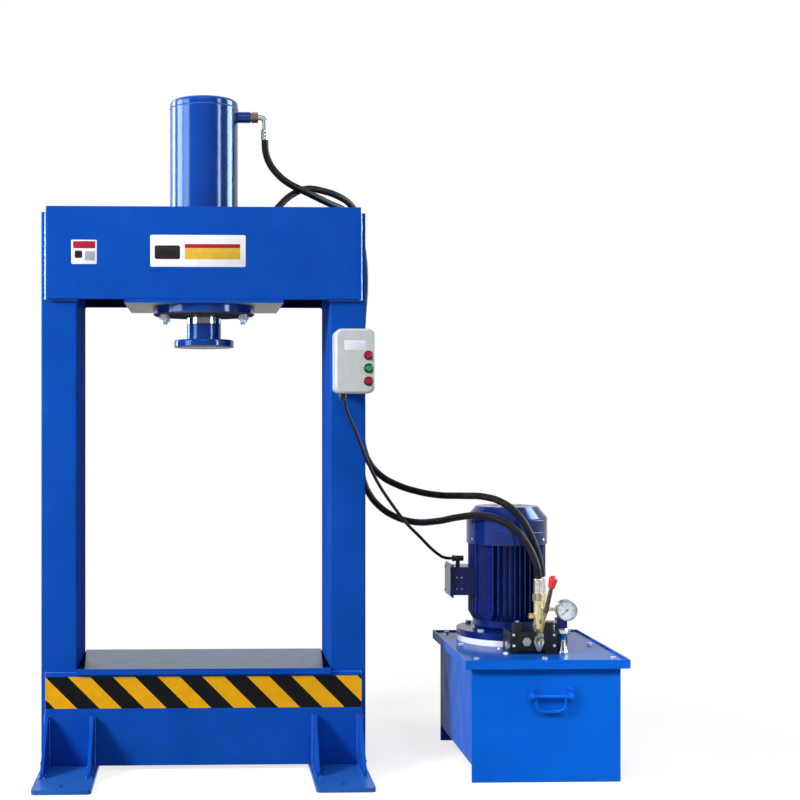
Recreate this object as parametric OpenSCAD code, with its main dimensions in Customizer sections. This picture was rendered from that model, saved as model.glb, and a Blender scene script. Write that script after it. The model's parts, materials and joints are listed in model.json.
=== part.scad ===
// Portal hydraulic press with its separate power unit, hoses and motor cable.
// Millimetres. The origin lies on the floor under the ram axis.
// +X points to the power unit, +Y to the rear and +Z up.

/* [Portal frame] */
// Clear width between the columns
opening_w = 700; // [640:10:800]
// Width of a column seen from the front
column_w = 100; // [90:5:130]
// Depth of a column from front to rear
column_d = 270; // [250:5:320]
// Wall of the column tube
column_wall = 10; // [6:1:14]
// Corner radius of the column tube
column_r = 6; // [4:1:25]
// Thickness of the closed column tops
column_lid = 8; // [5:1:12]
// Height of the beam's top edge above the floor
beam_top = 1554; // [1500:2:1700]
// Height of the beam plates
beam_h = 256; // [230:2:300]
// Thickness of the beam plates
beam_t = 20; // [15:1:25]
// Distance of the beam plates' ends from the columns' outer faces
beam_end_inset = 15; // [5:1:30]
// Drop of the column tops below the beam's top edge
column_drop = 14; // [5:1:30]
// Thickness of the ribs beside the cylinder
beam_rib_t = 16; // [10:1:20]
// Drop of the rib tops below the beam's top edge
beam_rib_drop = 60; // [40:2:100]

/* [Cylinder seat] */
// Width of the seat plate under the beam
seat_w = 440; // [420:5:480]
// Height of the seat plate that shows below the beam
seat_lip = 10; // [8:1:16]
// Height of the seat plate between the beam plates
seat_core = 30; // [20:1:40]
// Reach of the seat plate behind the beam
seat_tail = 80; // [40:5:100]
// Clearance round the barrel in its seat
seat_clear = 0.5; // [0.3:0.1:1.5]

/* [Base and feet] */
// Thickness of the foot plates
foot_t = 12; // [10:1:20]
// Corner radius of a foot plate
foot_r = 12; // [4:1:20]
// Width of a foot plate
foot_w = 155; // [140:5:180]
// Length of a foot plate from front to rear
foot_len = 814; // [760:2:860]
// Distance of a foot's outer edge from the column's outer face
foot_edge_inset = 4; // [0:1:10]
// Diameter of the anchor holes
anchor_d = 16; // [13:1:20]
// Distance of the anchor holes from the foot's ends
anchor_end = 43; // [30:1:60]
// Height of the base plates
base_h = 252; // [220:2:300]
// Thickness of the base plates
base_t = 20; // [15:1:25]
// Distance of the base plates' ends from the columns' outer faces
base_end_inset = 14; // [5:1:30]
// Number of cross ribs under the table
base_rib_n = 3; // [2:1:5]
// Thickness of the cross ribs
base_rib_t = 16; // [10:1:20]
// Thickness of the table plate
table_t = 16; // [12:1:30]
// Overhang of the table in front of the base plates
table_overhang = 10; // [0:1:20]
// Gap between the table and each column
table_gap = 0.5; // [0.3:0.1:2]
// Thickness of a gusset
gusset_t = 10; // [8:1:14]
// Height of a gusset
gusset_h = 138; // [100:2:180]
// Reach of a gusset from the base plate
gusset_reach = 134; // [100:2:180]
// Flat top of a gusset
gusset_top = 18; // [8:1:30]
// Height of a gusset's nose
gusset_nose = 14; // [5:1:25]
// Distance of the gussets from the foot's edges
gusset_inset = 10; // [5:1:20]

/* [Hazard tape] */
// Height of the tape
tape_h = 87; // [60:1:100]
// Distance of the tape below the table
tape_drop = 7; // [2:1:20]
// Thickness of the tape
tape_t = 0.4; // [0.2:0.1:1]
// Length of a yellow stripe along the tape
stripe_w = 61; // [40:1:80]
// Distance from stripe to stripe along the tape
stripe_pitch = 123; // [100:1:160]

/* [Cylinder and ram] */
// Outer diameter of the barrel
barrel_d = 195; // [180:1:205]
// Bore of the barrel
bore_d = 140; // [130:1:155]
// Height of the barrel's top end above the beam
barrel_rise = 299; // [260:1:340]
// Thickness of the welded end cap
cap_t = 24; // [16:1:40]
// Bevel of the end cap's rim
cap_bevel = 7; // [3:1:10]
// Diameter of the flange under the seat plate
flange_d = 290; // [280:2:310]
// Thickness of the flange
flange_t = 26; // [20:1:36]
// Bevel of the flange's rim
flange_bevel = 4; // [1:0.5:6]
// Circle of the flange bolts
bolt_circle = 250; // [246:1:254]
// Angle of the flange bolts from the X axis
bolt_angle = 26; // [15:1:40]
// Diameter of the flange bolts
bolt_d = 16; // [14:1:18]
// Width across flats of the flange nuts
nut_af = 24; // [22:1:28]
// Height of the flange nuts
nut_h = 14; // [10:1:18]
// Length of bolt that shows below a nut
bolt_show = 6; // [2:1:10]
// Clearance round the flange bolts
bolt_clear = 1; // [0.5:0.1:2]
// Diameter of the chromed rod
rod_d = 100; // [90:1:110]
// Length of rod that shows at the top of the stroke
rod_show = 23; // [15:1:60]
// Stroke of the ram
ram_stroke = 300; // [200:5:330]
// Running clearance of rod and piston on the radius
run_clear = 0.06; // [0.02:0.01:0.1]
// Length of the rod guide in the barrel's mouth
gland_len = 80; // [60:1:100]
// Length of the piston
piston_len = 80; // [60:1:90]
// Gap between the piston and the end cap at the top of the stroke
piston_gap = 38; // [32:1:60]
// Diameter of the rod's necks in the piston and the pad
rod_neck_d = 55; // [40:1:65]
// Length of the rod's neck in the pad
rod_neck_len = 30; // [20:1:40]
// Diameter of the ram pad's hub
pad_hub_d = 98; // [80:1:120]
// Height of the ram pad's hub
pad_hub_h = 46; // [40:1:70]
// Diameter of the ram pad
pad_d = 172; // [150:2:220]
// Thickness of the ram pad
pad_t = 22; // [15:1:40]
// Bevel of the pad's edges
pad_bevel = 3; // [1:0.5:5]

/* [Cylinder ports] */
// Distance of the upper port below the end cap
port_drop = 20; // [18:1:28]
// Height of the lower port above the rod guide
port_rise = 33; // [25:1:40]
// Diameter of the port bosses
port_boss_d = 32; // [28:1:36]
// Reach of the port bosses from the ram axis
port_reach = 133; // [125:1:145]
// Bore of the ports
port_bore = 12; // [8:1:14]
// Width across flats of the port nuts
port_nut_af = 27; // [24:1:30]
// Length of the port nuts
port_nut_len = 22; // [18:1:26]
// Diameter of the elbow tube
elbow_d = 16; // [14:1:20]
// Bend radius of the elbow tube
elbow_r = 14; // [12:1:18]
// Straight length of the elbow before its bend
elbow_lead = 6; // [4:1:10]
// Straight length of the elbow after its bend
elbow_tail = 22; // [16:1:30]
// Diameter of the hose ferrules
ferrule_d = 23; // [21:1:26]
// Length of the port ferrules
ferrule_len = 30; // [24:1:40]

/* [Control box] */
// Width of the control box
box_w = 107; // [90:1:120]
// Height of the control box
box_h = 176; // [160:1:200]
// Depth of the box behind its cover
box_d = 57; // [45:1:70]
// Depth of the cover
cover_d = 38; // [30:1:50]
// Wall of the box and its cover
box_wall = 3; // [2:0.5:4]
// Corner radius of the box
box_r = 17; // [8:1:20]
// Bevel of the cover's front edge
cover_bevel = 5; // [2:0.5:8]
// Distance of the box below the beam
box_drop = 85; // [40:1:300]
// Distance that the box stands past the column's outer face
box_overhang = 14; // [0:1:30]
// Diameter of the button caps
button_d = 19; // [16:0.5:22]
// Diameter of the button bezels
bezel_d = 27; // [25:0.5:30]
// Height of the bezels
bezel_h = 6; // [4:0.5:8]
// Height of the caps above their bezels
button_show = 6; // [5:0.5:9]
// Travel of a button
button_travel = 4; // [3:0.5:5]
// Clearance round a button
button_clear = 0.3; // [0.2:0.05:0.5]
// Distance of the buttons from the box's outer side
button_inset = 17; // [16:1:25]
// Height of the lowest button above the box's underside
button_low = 33; // [25:1:40]
// Distance from button to button
button_pitch = 35; // [32:1:45]
// Width across flats of the cable gland
gland_af = 20; // [16:1:24]
// Length of the cable gland
gland_h = 20; // [14:1:26]
// Distance of the cable gland from the box's inner side
gland_inset = 24; // [18:1:40]

/* [Tank] */
// Distance of the tank's left side from the ram axis
tank_x = 711; // [650:1:800]
// Distance of the tank's front from the ram axis
tank_front = 321; // [250:1:400]
// Width of the tank
tank_w = 400; // [380:5:460]
// Depth of the tank
tank_d = 495; // [480:5:560]
// Height of the tank walls above the floor
tank_h = 319; // [290:1:360]
// Wall of the tank
tank_wall = 4; // [3:0.5:6]
// Height of the tank's bottom above the floor
tank_floor = 46; // [30:1:70]
// Overhang of the lid past the tank
lid_over = 20; // [12:1:30]
// Thickness of the lid's deck
deck_t = 6; // [4:0.5:8]
// Height of the lid's rim above the deck
rim_up = 4; // [3:1:15]
// Height of the lid's rim below the deck
rim_down = 14; // [4:1:20]
// Thickness of the lid's rim
rim_t = 5; // [3:0.5:8]
// Number of lid bolts along each side
lid_bolt_n = 3; // [3:1:7]
// Distance of the lid bolts from the rim's outer face
lid_bolt_inset = 36; // [34:1:40]
// Thread diameter of the lid bolts
lid_bolt_d = 8; // [6:1:10]
// Width across flats of the lid bolts
lid_bolt_af = 13; // [11:1:16]
// Height of the lid bolts' heads
lid_bolt_h = 6; // [4:0.5:8]
// Thread of the lid bolts below the deck
lid_bolt_len = 12; // [8:1:16]

/* [Tank handles] */
// Width of a handle between the middles of its legs
bail_w = 80; // [60:1:100]
// Drop of a handle below its pivot
bail_drop = 40; // [34:1:50]
// Bend radius of the handle rod
bail_r = 24; // [12:1:28]
// Diameter of the handle rod
bail_d = 9; // [7:0.5:11]
// Height of the handle pivots above the floor
bail_z = 230; // [200:1:260]
// Distance of the front handle from the tank's left side
bail_x = 210; // [120:1:280]
// Distance of the handle pivots from the tank wall
bail_off = 12; // [11:0.5:18]
// Distance of the handle eyes from the middles of the legs
eye_gap = 6; // [5.5:0.5:10]
// Width of a handle eye
eye_w = 14; // [10:1:18]
// Outer diameter of a handle eye
eye_d = 19; // [17:0.5:21]
// Height of an eye's tab above its pivot
eye_tab = 22; // [10:1:30]
// Running clearance of the handles in their eyes on the radius
bail_clear = 0.08; // [0.04:0.01:0.1]

/* [Motor] */
// Distance of the motor axis from the tank's left side
motor_x = 170; // [160:1:200]
// Distance of the motor axis from the tank's front
motor_y = 354; // [330:1:360]
// Diameter of the motor's flange and seat ring
motor_flange_d = 290; // [270:2:300]
// Thickness of the seat ring
ring_t = 17; // [15:1:30]
// Thickness of the motor flange
motor_flange_t = 19; // [14:1:24]
// Circle of the motor flange bolts
motor_bolt_circle = 265; // [250:1:265]
// Diameter of the motor flange bolts
motor_bolt_d = 10; // [8:1:12]
// Width across flats of the motor flange bolts
motor_bolt_af = 17; // [14:1:19]
// Height of the motor's neck above the flange
neck_h = 28; // [20:1:36]
// Diameter of the motor's neck
neck_d = 196; // [180:1:205]
// Diameter over the cooling fins
fin_d = 222; // [212:1:226]
// Diameter of the motor body under the fins
body_d = 186; // [170:1:196]
// Length of the finned body
body_h = 218; // [200:1:260]
// Number of fins on each quarter
fin_n = 9; // [7:2:9]
// Distance from fin to fin
fin_pitch = 15; // [14:0.5:18]
// Thickness of a fin
fin_t = 4; // [3:0.5:6]
// Height of the slope at the fins' lower ends
fin_slope_h = 22; // [10:1:30]
// Diameter of the stator's bore
stator_d = 112; // [100:1:130]
// Air gap between rotor and stator
air_gap = 1; // [0.6:0.1:1.5]
// Thickness of the body's upper bearing wall
bearing_wall = 24; // [18:1:30]
// Diameter of the motor shaft
shaft_d = 28; // [24:1:32]
// Running clearance of the shaft on the radius
shaft_clear = 0.06; // [0.02:0.01:0.1]
// Diameter of the fan cover
hood_d = 232; // [228:1:240]
// Height of the fan cover
hood_h = 108; // [104:1:130]
// Sheet of the fan cover
hood_t = 2; // [1.5:0.5:3]
// Gap between the fan cover and the end shield
hood_fit = 0.2; // [0.1:0.05:0.5]
// Height of the end shield inside the fan cover
shield_h = 12; // [8:1:14]
// Width of the slope round the fan cover's top
hood_slope_w = 27; // [15:1:35]
// Height of the slope round the fan cover's top
hood_slope_h = 33; // [20:1:40]
// Heights of the two raised beads above the fan cover's lower edge
bead_low = 36; // [20:1:45]
// Distance between the raised beads
bead_step = 34; // [24:1:34]
// Height of a raised bead
bead_r = 1.6; // [1:0.1:2.5]
// Number of air slots in the fan cover's top
slot_n = 16; // [10:1:20]
// Width of an air slot
slot_w = 7; // [4:0.5:9]
// Diameter of the fan
fan_d = 190; // [160:2:200]
// Height of the fan blades
fan_h = 40; // [25:1:50]
// Gap between the fan and the end shield
fan_gap = 5; // [3:0.5:8]
// Number of fan blades
fan_n = 9; // [5:1:12]
// Thickness of a fan blade
fan_t = 3; // [2:0.5:5]

/* [Terminal box] */
// Reach of the terminal box's cover from the motor axis
term_reach = 173; // [165:1:190]
// Thickness of the terminal box's cover
term_cover_t = 9; // [6:1:16]
// Width of the terminal box from front to rear
term_w = 96; // [80:1:110]
// Height of the terminal box
term_h = 81; // [70:1:100]
// Overhang of the cover's rim past the terminal box
term_rim = 7; // [4:1:12]
// Height of the terminal box's underside above the motor flange
term_z = 99; // [80:1:110]
// Diameter of the angle gland's stem
stem_d = 12; // [10:0.5:16]
// Height of the angle gland's axis above the terminal box
stem_h = 21; // [18:1:30]
// Distance of the angle gland from the cover
stem_x = 21; // [14:1:26]
// Length of the angle gland's nut
angle_nut_len = 8; // [6:1:18]
// Diameter of the angle gland's body
angle_d = 16; // [13:0.5:18]

/* [Pump] */
// Diameter of the pump in the tank
pump_d = 140; // [110:2:160]
// Length of the pump below the seat ring
pump_len = 170; // [140:5:220]
// Clearance round the pump in the deck
pump_clear = 4; // [2:0.5:8]
// Diameter of the opening in the seat ring
ring_bore = 60; // [50:1:80]
// Length of motor shaft in the pump
shaft_plug = 50; // [30:1:70]

/* [Valve block] */
// Distance of the valve block from the tank's left side
valve_x = 125; // [110:1:140]
// Distance of the valve block's front from the tank's front
valve_y = 96; // [80:1:110]
// Width of the valve block
valve_w = 129; // [126:1:150]
// Depth of the valve block
valve_d = 102; // [100:1:106]
// Height of the valve block
valve_h = 60; // [56:1:80]
// Width of the valve block's left foot
valve_foot_left = 20; // [14:1:30]
// Width of the valve block's right foot
valve_foot_right = 34; // [20:1:44]
// Height of the opening under the valve block
valve_lift = 12; // [6:1:16]
// Diameter of the two posts on the valve block
post_d = 26; // [20:1:30]
// Height of the posts above the valve block
post_h = 26; // [15:1:35]
// Distance of the posts' middles from the block's ends
post_inset = 20; // [16:1:22]
// Distance of the spool from the valve block's left side
spool_x = 77; // [68:1:80]
// Height of the spool above the deck
spool_z = 35; // [32:1:38]
// Diameter of the spool
spool_d = 14; // [12:1:16]
// Running clearance of the spool on the radius
spool_clear = 0.06; // [0.02:0.01:0.1]
// Width of the oval cover plate
oval_w = 28; // [24:1:32]
// Height of the oval cover plate
oval_h = 56; // [52:1:60]
// Thickness of the oval cover plate
oval_t = 6; // [4:0.5:9]
// Distance of the side plug from the valve block's left side
plug_x = 43; // [36:1:48]
// Width across flats of the valve plugs
plug_af = 22; // [18:1:24]
// Height of the valve plugs
plug_h = 9; // [5:0.5:12]

/* [Valve lever] */
// Height of the lever's pivot above the spool
lever_arm = 18; // [17:0.5:22]
// Distance of the lever's pivot in front of the valve block
lever_off = 20; // [18:0.5:24]
// Thickness of the lever at its pivot
lever_t = 6; // [5:0.5:8]
// Diameter of the lever's boss at its pivot
lever_boss = 15; // [13:0.5:17]
// Diameter of the pivot pin and the spool's pin
pin_d = 5; // [4:0.5:6]
// Gap beside the lever in its ears and in the spool
lever_gap = 0.4; // [0.3:0.1:0.8]
// Running clearance of the lever on its pivot pin on the radius
pin_clear = 0.06; // [0.02:0.01:0.1]
// Thickness of an ear
ear_t = 4; // [3:0.5:6]
// Length of the lever from its pivot to its knob
lever_len = 133; // [110:1:150]
// Lean of the lever to the right
lever_lean = 13; // [5:1:15]
// Diameter of the lever's rod
lever_d1 = 9; // [8:0.5:11]
// Diameter of the sleeve on the lever's upper half
lever_d2 = 13; // [11:0.5:15]
// Height of the sleeve's lower end above the pivot
sleeve_z = 58; // [50:1:80]
// Diameter of the knob
knob_d = 24; // [20:1:26]
// Length of the knob
knob_len = 35; // [30:1:42]

/* [Hose fittings and gauge] */
// Distance of the front fitting from the valve block's left side
fit_x = 85; // [78:1:88]
// Distance of the front fitting from the valve block's front
fit_y = 40; // [36:1:44]
// Distance of the rear fitting to the right of the front one
fit_dx = 20; // [14:1:22]
// Distance of the rear fitting behind the front one
fit_dy = 45; // [40:1:45]
// Width across flats of the fittings' lower nuts
fit_af = 25; // [22:1:27]
// Height of the fittings' lower nuts
fit_nut_h = 19; // [14:1:24]
// Diameter of the fittings' bodies
fit_d = 24; // [20:1:25]
// Height of the fittings' bodies
fit_h = 59; // [54:1:66]
// Height of the fittings' upper nuts
fit_top_h = 22; // [16:1:26]
// Length of the ferrules on the fittings
fit_ferrule = 42; // [30:1:50]
// Length of the plug on the front fitting's left side
fit_plug_len = 16; // [10:1:18]
// Diameter of the gauge
gauge_d = 58; // [50:1:63]
// Depth of the gauge
gauge_t = 28; // [22:1:34]
// Depth of the gauge's face behind its rim
gauge_face = 9; // [7:0.5:12]
// Wall of the gauge's rim
gauge_rim = 2.5; // [2:0.5:4]
// Distance of the gauge from the front fitting
gauge_x = 73; // [68:1:90]
// Height of the gauge's middle above the valve block
gauge_z = 58; // [52:1:64]
// Diameter of the gauge's pipe
gauge_pipe = 10; // [8:0.5:12]
// Size of the gauge's elbow block
gauge_block = 16; // [14:1:20]
// Length of the gauge's needle
needle_len = 20; // [14:0.5:22]
// Thickness of the needle
needle_t = 1; // [0.6:0.1:1.5]
// Diameter of the needle's spindle
needle_pin = 3; // [2:0.5:4]
// Angle of the needle at no pressure, from straight down
needle_zero = 45; // [30:1:60]

/* [Relief valve and filler] */
// Distance of the relief valve from the valve block's right side
relief_gap = 8; // [4:1:20]
// Width of the relief valve
relief_w = 28; // [24:1:40]
// Height of the relief valve
relief_h = 92; // [80:1:95]
// Distance of the relief valve's front from the valve block's front
relief_y = 34; // [33:1:44]
// Diameter of the return pipe to the relief valve
return_d = 14; // [10:1:15]
// Bend radius of the return pipe
return_r = 16; // [14:1:20]
// Distance of the return pipe from the valve block's right side
return_inset = 10; // [9:0.5:14]
// Diameter of the filler cap
filler_d = 28; // [24:1:32]
// Height of the filler cap
filler_h = 70; // [50:1:80]
// Distance of the filler cap to the right of the valve block
filler_gap = 17; // [15:1:30]
// Distance of the filler cap from the valve block's front
filler_y = 8; // [0:1:14]

/* [Hoses and cable] */
// Diameter of the hydraulic hoses
hose_d = 20; // [16:0.5:21]
// Diameter of the motor cable
cable_d = 9; // [6:0.5:11]

/* [Hidden] */
$fn = 64;
eps = 0.5;
// Gap at welded and pressed round fits
snug = 0.05;

// Portal frame
in_x = opening_w / 2;
out_x = in_x + column_w;
col_y = column_d / 2;
beam_z = beam_top - beam_h;
beam_x = out_x - beam_end_inset;
beam_y = col_y + beam_t;
column_top = beam_top - column_drop;

// Base
base_x = out_x - base_end_inset;
base_y = col_y + base_t;
base_top = foot_t + base_h;
foot_x1 = out_x - foot_edge_inset;
foot_x0 = foot_x1 - foot_w;
anchor_y = foot_len / 2 - anchor_end;

// Cylinder, from the seat plate downwards and upwards
seat_z = beam_z - seat_lip;
seat_top = beam_z + seat_core;
flange_z = seat_z - flange_t;
barrel_top = beam_top + barrel_rise;
port_top_z = barrel_top - port_drop;
port_low_z = flange_z + gland_len + port_rise;
rod_z = flange_z - rod_show;
pad_z = rod_z - pad_hub_h - pad_t;
piston_top = barrel_top - piston_gap;
piston_z = piston_top - piston_len;

// Control box
box_z = beam_z - box_drop - box_h;
box_x1 = out_x + box_overhang;
box_x0 = box_x1 - box_w;
box_split = -col_y - box_d;
box_front = box_split - cover_d;
button_x = box_x1 - button_inset;

// Tank and lid
tank_x1 = tank_x + tank_w;
tank_y0 = -tank_front;
tank_y1 = tank_y0 + tank_d;
deck_z = tank_h + deck_t;
lid_x0 = tank_x - lid_over;
lid_x1 = tank_x1 + lid_over;
lid_y0 = tank_y0 - lid_over;
lid_y1 = tank_y1 + lid_over;
bolt_x0 = lid_x0 + lid_bolt_inset;
bolt_y0 = lid_y0 + lid_bolt_inset;
bolt_dx = (lid_x1 - lid_x0 - 2 * lid_bolt_inset) / (lid_bolt_n - 1);
bolt_dy = (lid_y1 - lid_y0 - 2 * lid_bolt_inset) / (lid_bolt_n - 1);
lid_last = lid_bolt_n - 1;

// Motor heights, measured upwards from the deck
axis_x = tank_x + motor_x;
axis_y = tank_y0 + motor_y;
flange_low = deck_z + ring_t;
neck_z = flange_low + motor_flange_t;
body_z = neck_z + neck_h;
body_top = body_z + body_h;
hood_top = body_top + hood_h;
fan_z = body_top + shield_h + fan_gap;
term_low = neck_z + term_z;
term_top = term_low + term_h;
term_out = axis_x - term_reach;
term_face = term_out + term_cover_t;
angle_x = term_face + stem_x;
angle_z = term_top + stem_h;

// Valve block and what stands on it
valve_x0 = tank_x + valve_x;
valve_x1 = valve_x0 + valve_w;
valve_y0 = tank_y0 + valve_y;
valve_y1 = valve_y0 + valve_d;
valve_top = deck_z + valve_h;
post_y = valve_y0 + post_d / 2 + 1;
lever_x = valve_x0 + spool_x;
lever_y = valve_y0 - lever_off;
spool_axis = deck_z + spool_z;
lever_z = spool_axis + lever_arm;
front_fit = [valve_x0 + fit_x, valve_y0 + fit_y, valve_top];
rear_fit = front_fit + [fit_dx, fit_dy, 0];
gauge_at = front_fit + [gauge_x, -gauge_block / 2, gauge_z];
relief_x0 = valve_x1 + relief_gap;
return_y = valve_y0 + relief_y + relief_w / 2;

// Routes of the hoses and the cable, from fitting to fitting
upper_route = [
    [175, 0, 1767], [175, 0, 1757], [177, 0, 1735], [186, 2, 1707], [207, 6, 1677],
    [240, 15, 1650], [285, 32, 1630], [330, 62, 1614], [375, 100, 1600],
    [415, 137, 1589], [449, 163, 1561], [469, 177, 1517], [479, 184, 1465],
    [484, 187, 1410], [484, 188, 1350], [480, 188, 1290], [476, 188, 1230],
    [473, 187, 1170], [471, 186, 1110], [470, 185, 1050], [470, 183, 990],
    [473, 181, 930], [480, 177, 880], [497, 170, 835], [530, 158, 797],
    [575, 138, 771], [630, 103, 753], [690, 58, 744], [750, 6, 745],
    [800, -46, 745], [845, -90, 730], [882, -119, 697], [912, -134, 645],
    [931, -139, 592], [939, -140, 558], [941, -140, 538], [941, -140, 527]
];
lower_route = [
    [175, 0, 1441], [175, 0, 1451], [176, 0, 1478], [182, 2, 1515], [196, 8, 1552],
    [220, 20, 1585], [255, 40, 1618], [300, 68, 1640], [350, 92, 1638],
    [400, 120, 1626], [440, 156, 1605], [468, 194, 1565], [478, 211, 1505],
    [477, 213, 1445], [474, 216, 1385], [470, 217, 1325], [467, 218, 1265],
    [465, 218, 1205], [464, 218, 1145], [464, 218, 1085], [464, 217, 1025],
    [465, 216, 965], [467, 214, 905], [471, 210, 845], [480, 203, 790],
    [498, 192, 742], [530, 176, 702], [572, 150, 675], [622, 112, 662],
    [680, 55, 668], [733, -5, 684], [782, -65, 693], [825, -120, 686],
    [862, -150, 662], [893, -169, 622], [911, -181, 582], [919, -185, 555],
    [921, -185, 538], [921, -185, 527]
];
cable_route = [
    [388, -182.5, 1017], [388, -182.5, 1009], [391, -183, 993], [402, -185, 966], [416, -186, 934],
    [431, -184, 895], [449, -176, 853], [469, -162, 813], [490, -145, 778], [513, -124, 746],
    [541, -98, 710], [573, -70, 672], [613, -38, 634], [656, 0, 593], [682.5, 21.6, 572.5],
    [692.2, 27.7, 566.8], [703.9, 31.6, 563.2], [715, 33, 562], [722, 33, 562]
];

blue = "#1450ae";
unit_blue = "#0b5ccc";
motor_navy = "#16267a";
steel = "#7f8792";
silver = "#c9ccd0";
brass = "#c9b26a";
copper = "#8a6a55";
rubber = "#1d1c20";

// Block between two corners given as ranges
module block(x, y, z) {
    translate([x[0], y[0], z[0]]) cube([x[1] - x[0], y[1] - y[0], z[1] - z[0]]);
}

// Flat outline with four round corners
module round_rect(w, h, r) {
    square([w - 2 * r, h], center = true);
    square([w, h - 2 * r], center = true);
    for (sx = [-1, 1], sy = [-1, 1])
        translate([sx * (w / 2 - r), sy * (h / 2 - r)]) circle(r);
}

// Upright hexagon prism
module hex(af, h) {
    cylinder(d = af / cos(30), h = h, $fn = 6);
}

// Hexagon nut or head with its round washer face below it
module nut(af, h) {
    rim = h / 6;
    cylinder(d = af * 0.98, h = rim);
    translate([0, 0, rim]) hex(af, h - rim);
}

// Cylinder along X or Y from the given point
module rod_x(d, h) {
    rotate([0, 90, 0]) cylinder(d = d, h = h);
}
module rod_y(d, h) {
    rotate([-90, 0, 0]) cylinder(d = d, h = h);
}

// Quarter bend of a round rod, from +X round to -Z
module bend(d, r) {
    translate([0, 0, -r]) rotate([90, 0, 0]) rotate_extrude(angle = 90)
        translate([r, 0]) circle(d = d);
}

// Tube of ten sides swept along a route
function unit(v) = v / norm(v);
function heading(p, i) = unit(p[min(i + 1, len(p) - 1)] - p[max(i - 1, 0)]);
function ring_at(p, i, r, n) =
    let (t = heading(p, i), u = unit(cross(t, [0, 1, 0])), v = cross(u, t))
    [for (k = [0 : n - 1]) p[i] + r * (cos(360 * k / n) * u + sin(360 * k / n) * v)];

module sweep(p, d, n = 10) {
    last = len(p) - 1;
    points = [for (i = [0 : last]) each ring_at(p, i, d / 2, n)];
    sides = [
        for (i = [0 : last - 1], k = [0 : n - 1])
            [i * n + k, i * n + (k + 1) % n, (i + 1) * n + (k + 1) % n, (i + 1) * n + k]
    ];
    start = [for (k = [n - 1 : -1 : 0]) k];
    end = [for (k = [0 : n - 1]) last * n + k];
    polyhedron(points, concat([start], sides, [end]), convexity = 8);
}

// Portal frame

module column(side) {
    translate([side * (in_x + column_w / 2), 0, foot_t]) difference() {
        linear_extrude(column_top - foot_t) round_rect(column_w, column_d, column_r);
        translate([0, 0, -eps]) linear_extrude(column_top - foot_t - column_lid + eps)
            round_rect(column_w - 2 * column_wall, column_d - 2 * column_wall,
                max(2, column_r - column_wall));
    }
}

module column_left() {
    color(blue) column(-1);
}

module column_right() {
    color(blue) column(1);
}

module beam_front_plate() {
    color(blue) block([-beam_x, beam_x], [-beam_y, -col_y], [beam_z, beam_top]);
}

module beam_back_plate() {
    color(blue) block([-beam_x, beam_x], [col_y, beam_y], [beam_z, beam_top]);
}

module beam_ribs() {
    color(blue) for (side = [0, 1]) mirror([side, 0, 0])
        block([seat_w / 2, seat_w / 2 + beam_rib_t], [-col_y, col_y], [beam_z, beam_top - beam_rib_drop]);
}

module at_flange_bolts() {
    for (a = [bolt_angle, 180 - bolt_angle, 180 + bolt_angle, -bolt_angle])
        rotate([0, 0, a]) translate([bolt_circle / 2, 0, 0]) rotate([0, 0, -a]) children();
}

module cylinder_seat_plate() {
    color("#6d6a6b") difference() {
        union() {
            block([-seat_w / 2, seat_w / 2], [-beam_y, beam_y + seat_tail], [seat_z, beam_z]);
            block([-seat_w / 2, seat_w / 2], [-col_y, col_y], [seat_z, seat_top]);
        }
        translate([0, 0, seat_z - eps]) {
            cylinder(d = barrel_d + 2 * seat_clear, h = seat_top - seat_z + 2 * eps);
            at_flange_bolts() cylinder(d = bolt_d + 2 * bolt_clear, h = seat_top - seat_z + 2 * eps);
        }
    }
}

// Base, table and feet

module base_front_plate() {
    color(blue) block([-base_x, base_x], [-base_y, -col_y], [foot_t, base_top]);
}

module base_back_plate() {
    color(blue) block([-base_x, base_x], [col_y, base_y], [foot_t, base_top]);
}

module base_ribs() {
    pitch = opening_w / (base_rib_n + 1);
    color(blue) for (i = [1 : base_rib_n])
        translate([-in_x + i * pitch - base_rib_t / 2, 0, 0])
            block([0, base_rib_t], [-col_y, col_y], [foot_t, base_top]);
}

module table_plate() {
    x = in_x - table_gap;
    y = base_y + table_overhang;
    color(steel) block([-x, x], [-y, y], [base_top, base_top + table_t]);
}

module foot_plate(side) {
    mirror([side, 0, 0]) difference() {
        translate([(foot_x0 + foot_x1) / 2, 0, 0]) linear_extrude(foot_t)
            round_rect(foot_x1 - foot_x0, foot_len, foot_r);
        for (y = [-anchor_y, anchor_y])
            translate([(foot_x0 + foot_x1) / 2, y, -eps]) cylinder(d = anchor_d, h = foot_t + 2 * eps);
    }
}

module foot_plate_left() {
    color(blue) foot_plate(1);
}

module foot_plate_right() {
    color(blue) foot_plate(0);
}

module gusset() {
    outline = [[0, 0], [gusset_reach, 0], [gusset_reach, gusset_nose], [gusset_top, gusset_h], [0, gusset_h]];
    rotate([90, 0, -90]) translate([0, 0, -gusset_t]) linear_extrude(gusset_t) polygon(outline);
}

module foot_gussets() {
    color(blue) for (mx = [0, 1], my = [0, 1])
        mirror([mx, 0, 0]) mirror([0, my, 0])
            for (x = [foot_x0 + gusset_inset, foot_x1 - gusset_inset - gusset_t])
                translate([x, -base_y, foot_t]) gusset();
}

// Hazard tape on the front of the base

module tape_outline() {
    square([2 * base_x, tape_h]);
}

module stripes() {
    n = ceil((2 * base_x + tape_h) / stripe_pitch);
    for (i = [-1 : n])
        translate([i * stripe_pitch, 0])
            polygon([[tape_h - stripe_w, 0], [tape_h, 0], [0, tape_h], [-stripe_w, tape_h]]);
}

module on_base_front() {
    translate([-base_x, -base_y, base_top - tape_drop - tape_h]) rotate([90, 0, 0])
        linear_extrude(tape_t) children();
}

module hazard_tape_yellow() {
    color("#dba510") on_base_front() intersection() {
        tape_outline();
        stripes();
    }
}

module hazard_tape_black() {
    color("#15191c") on_base_front() difference() {
        tape_outline();
        stripes();
    }
}

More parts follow.
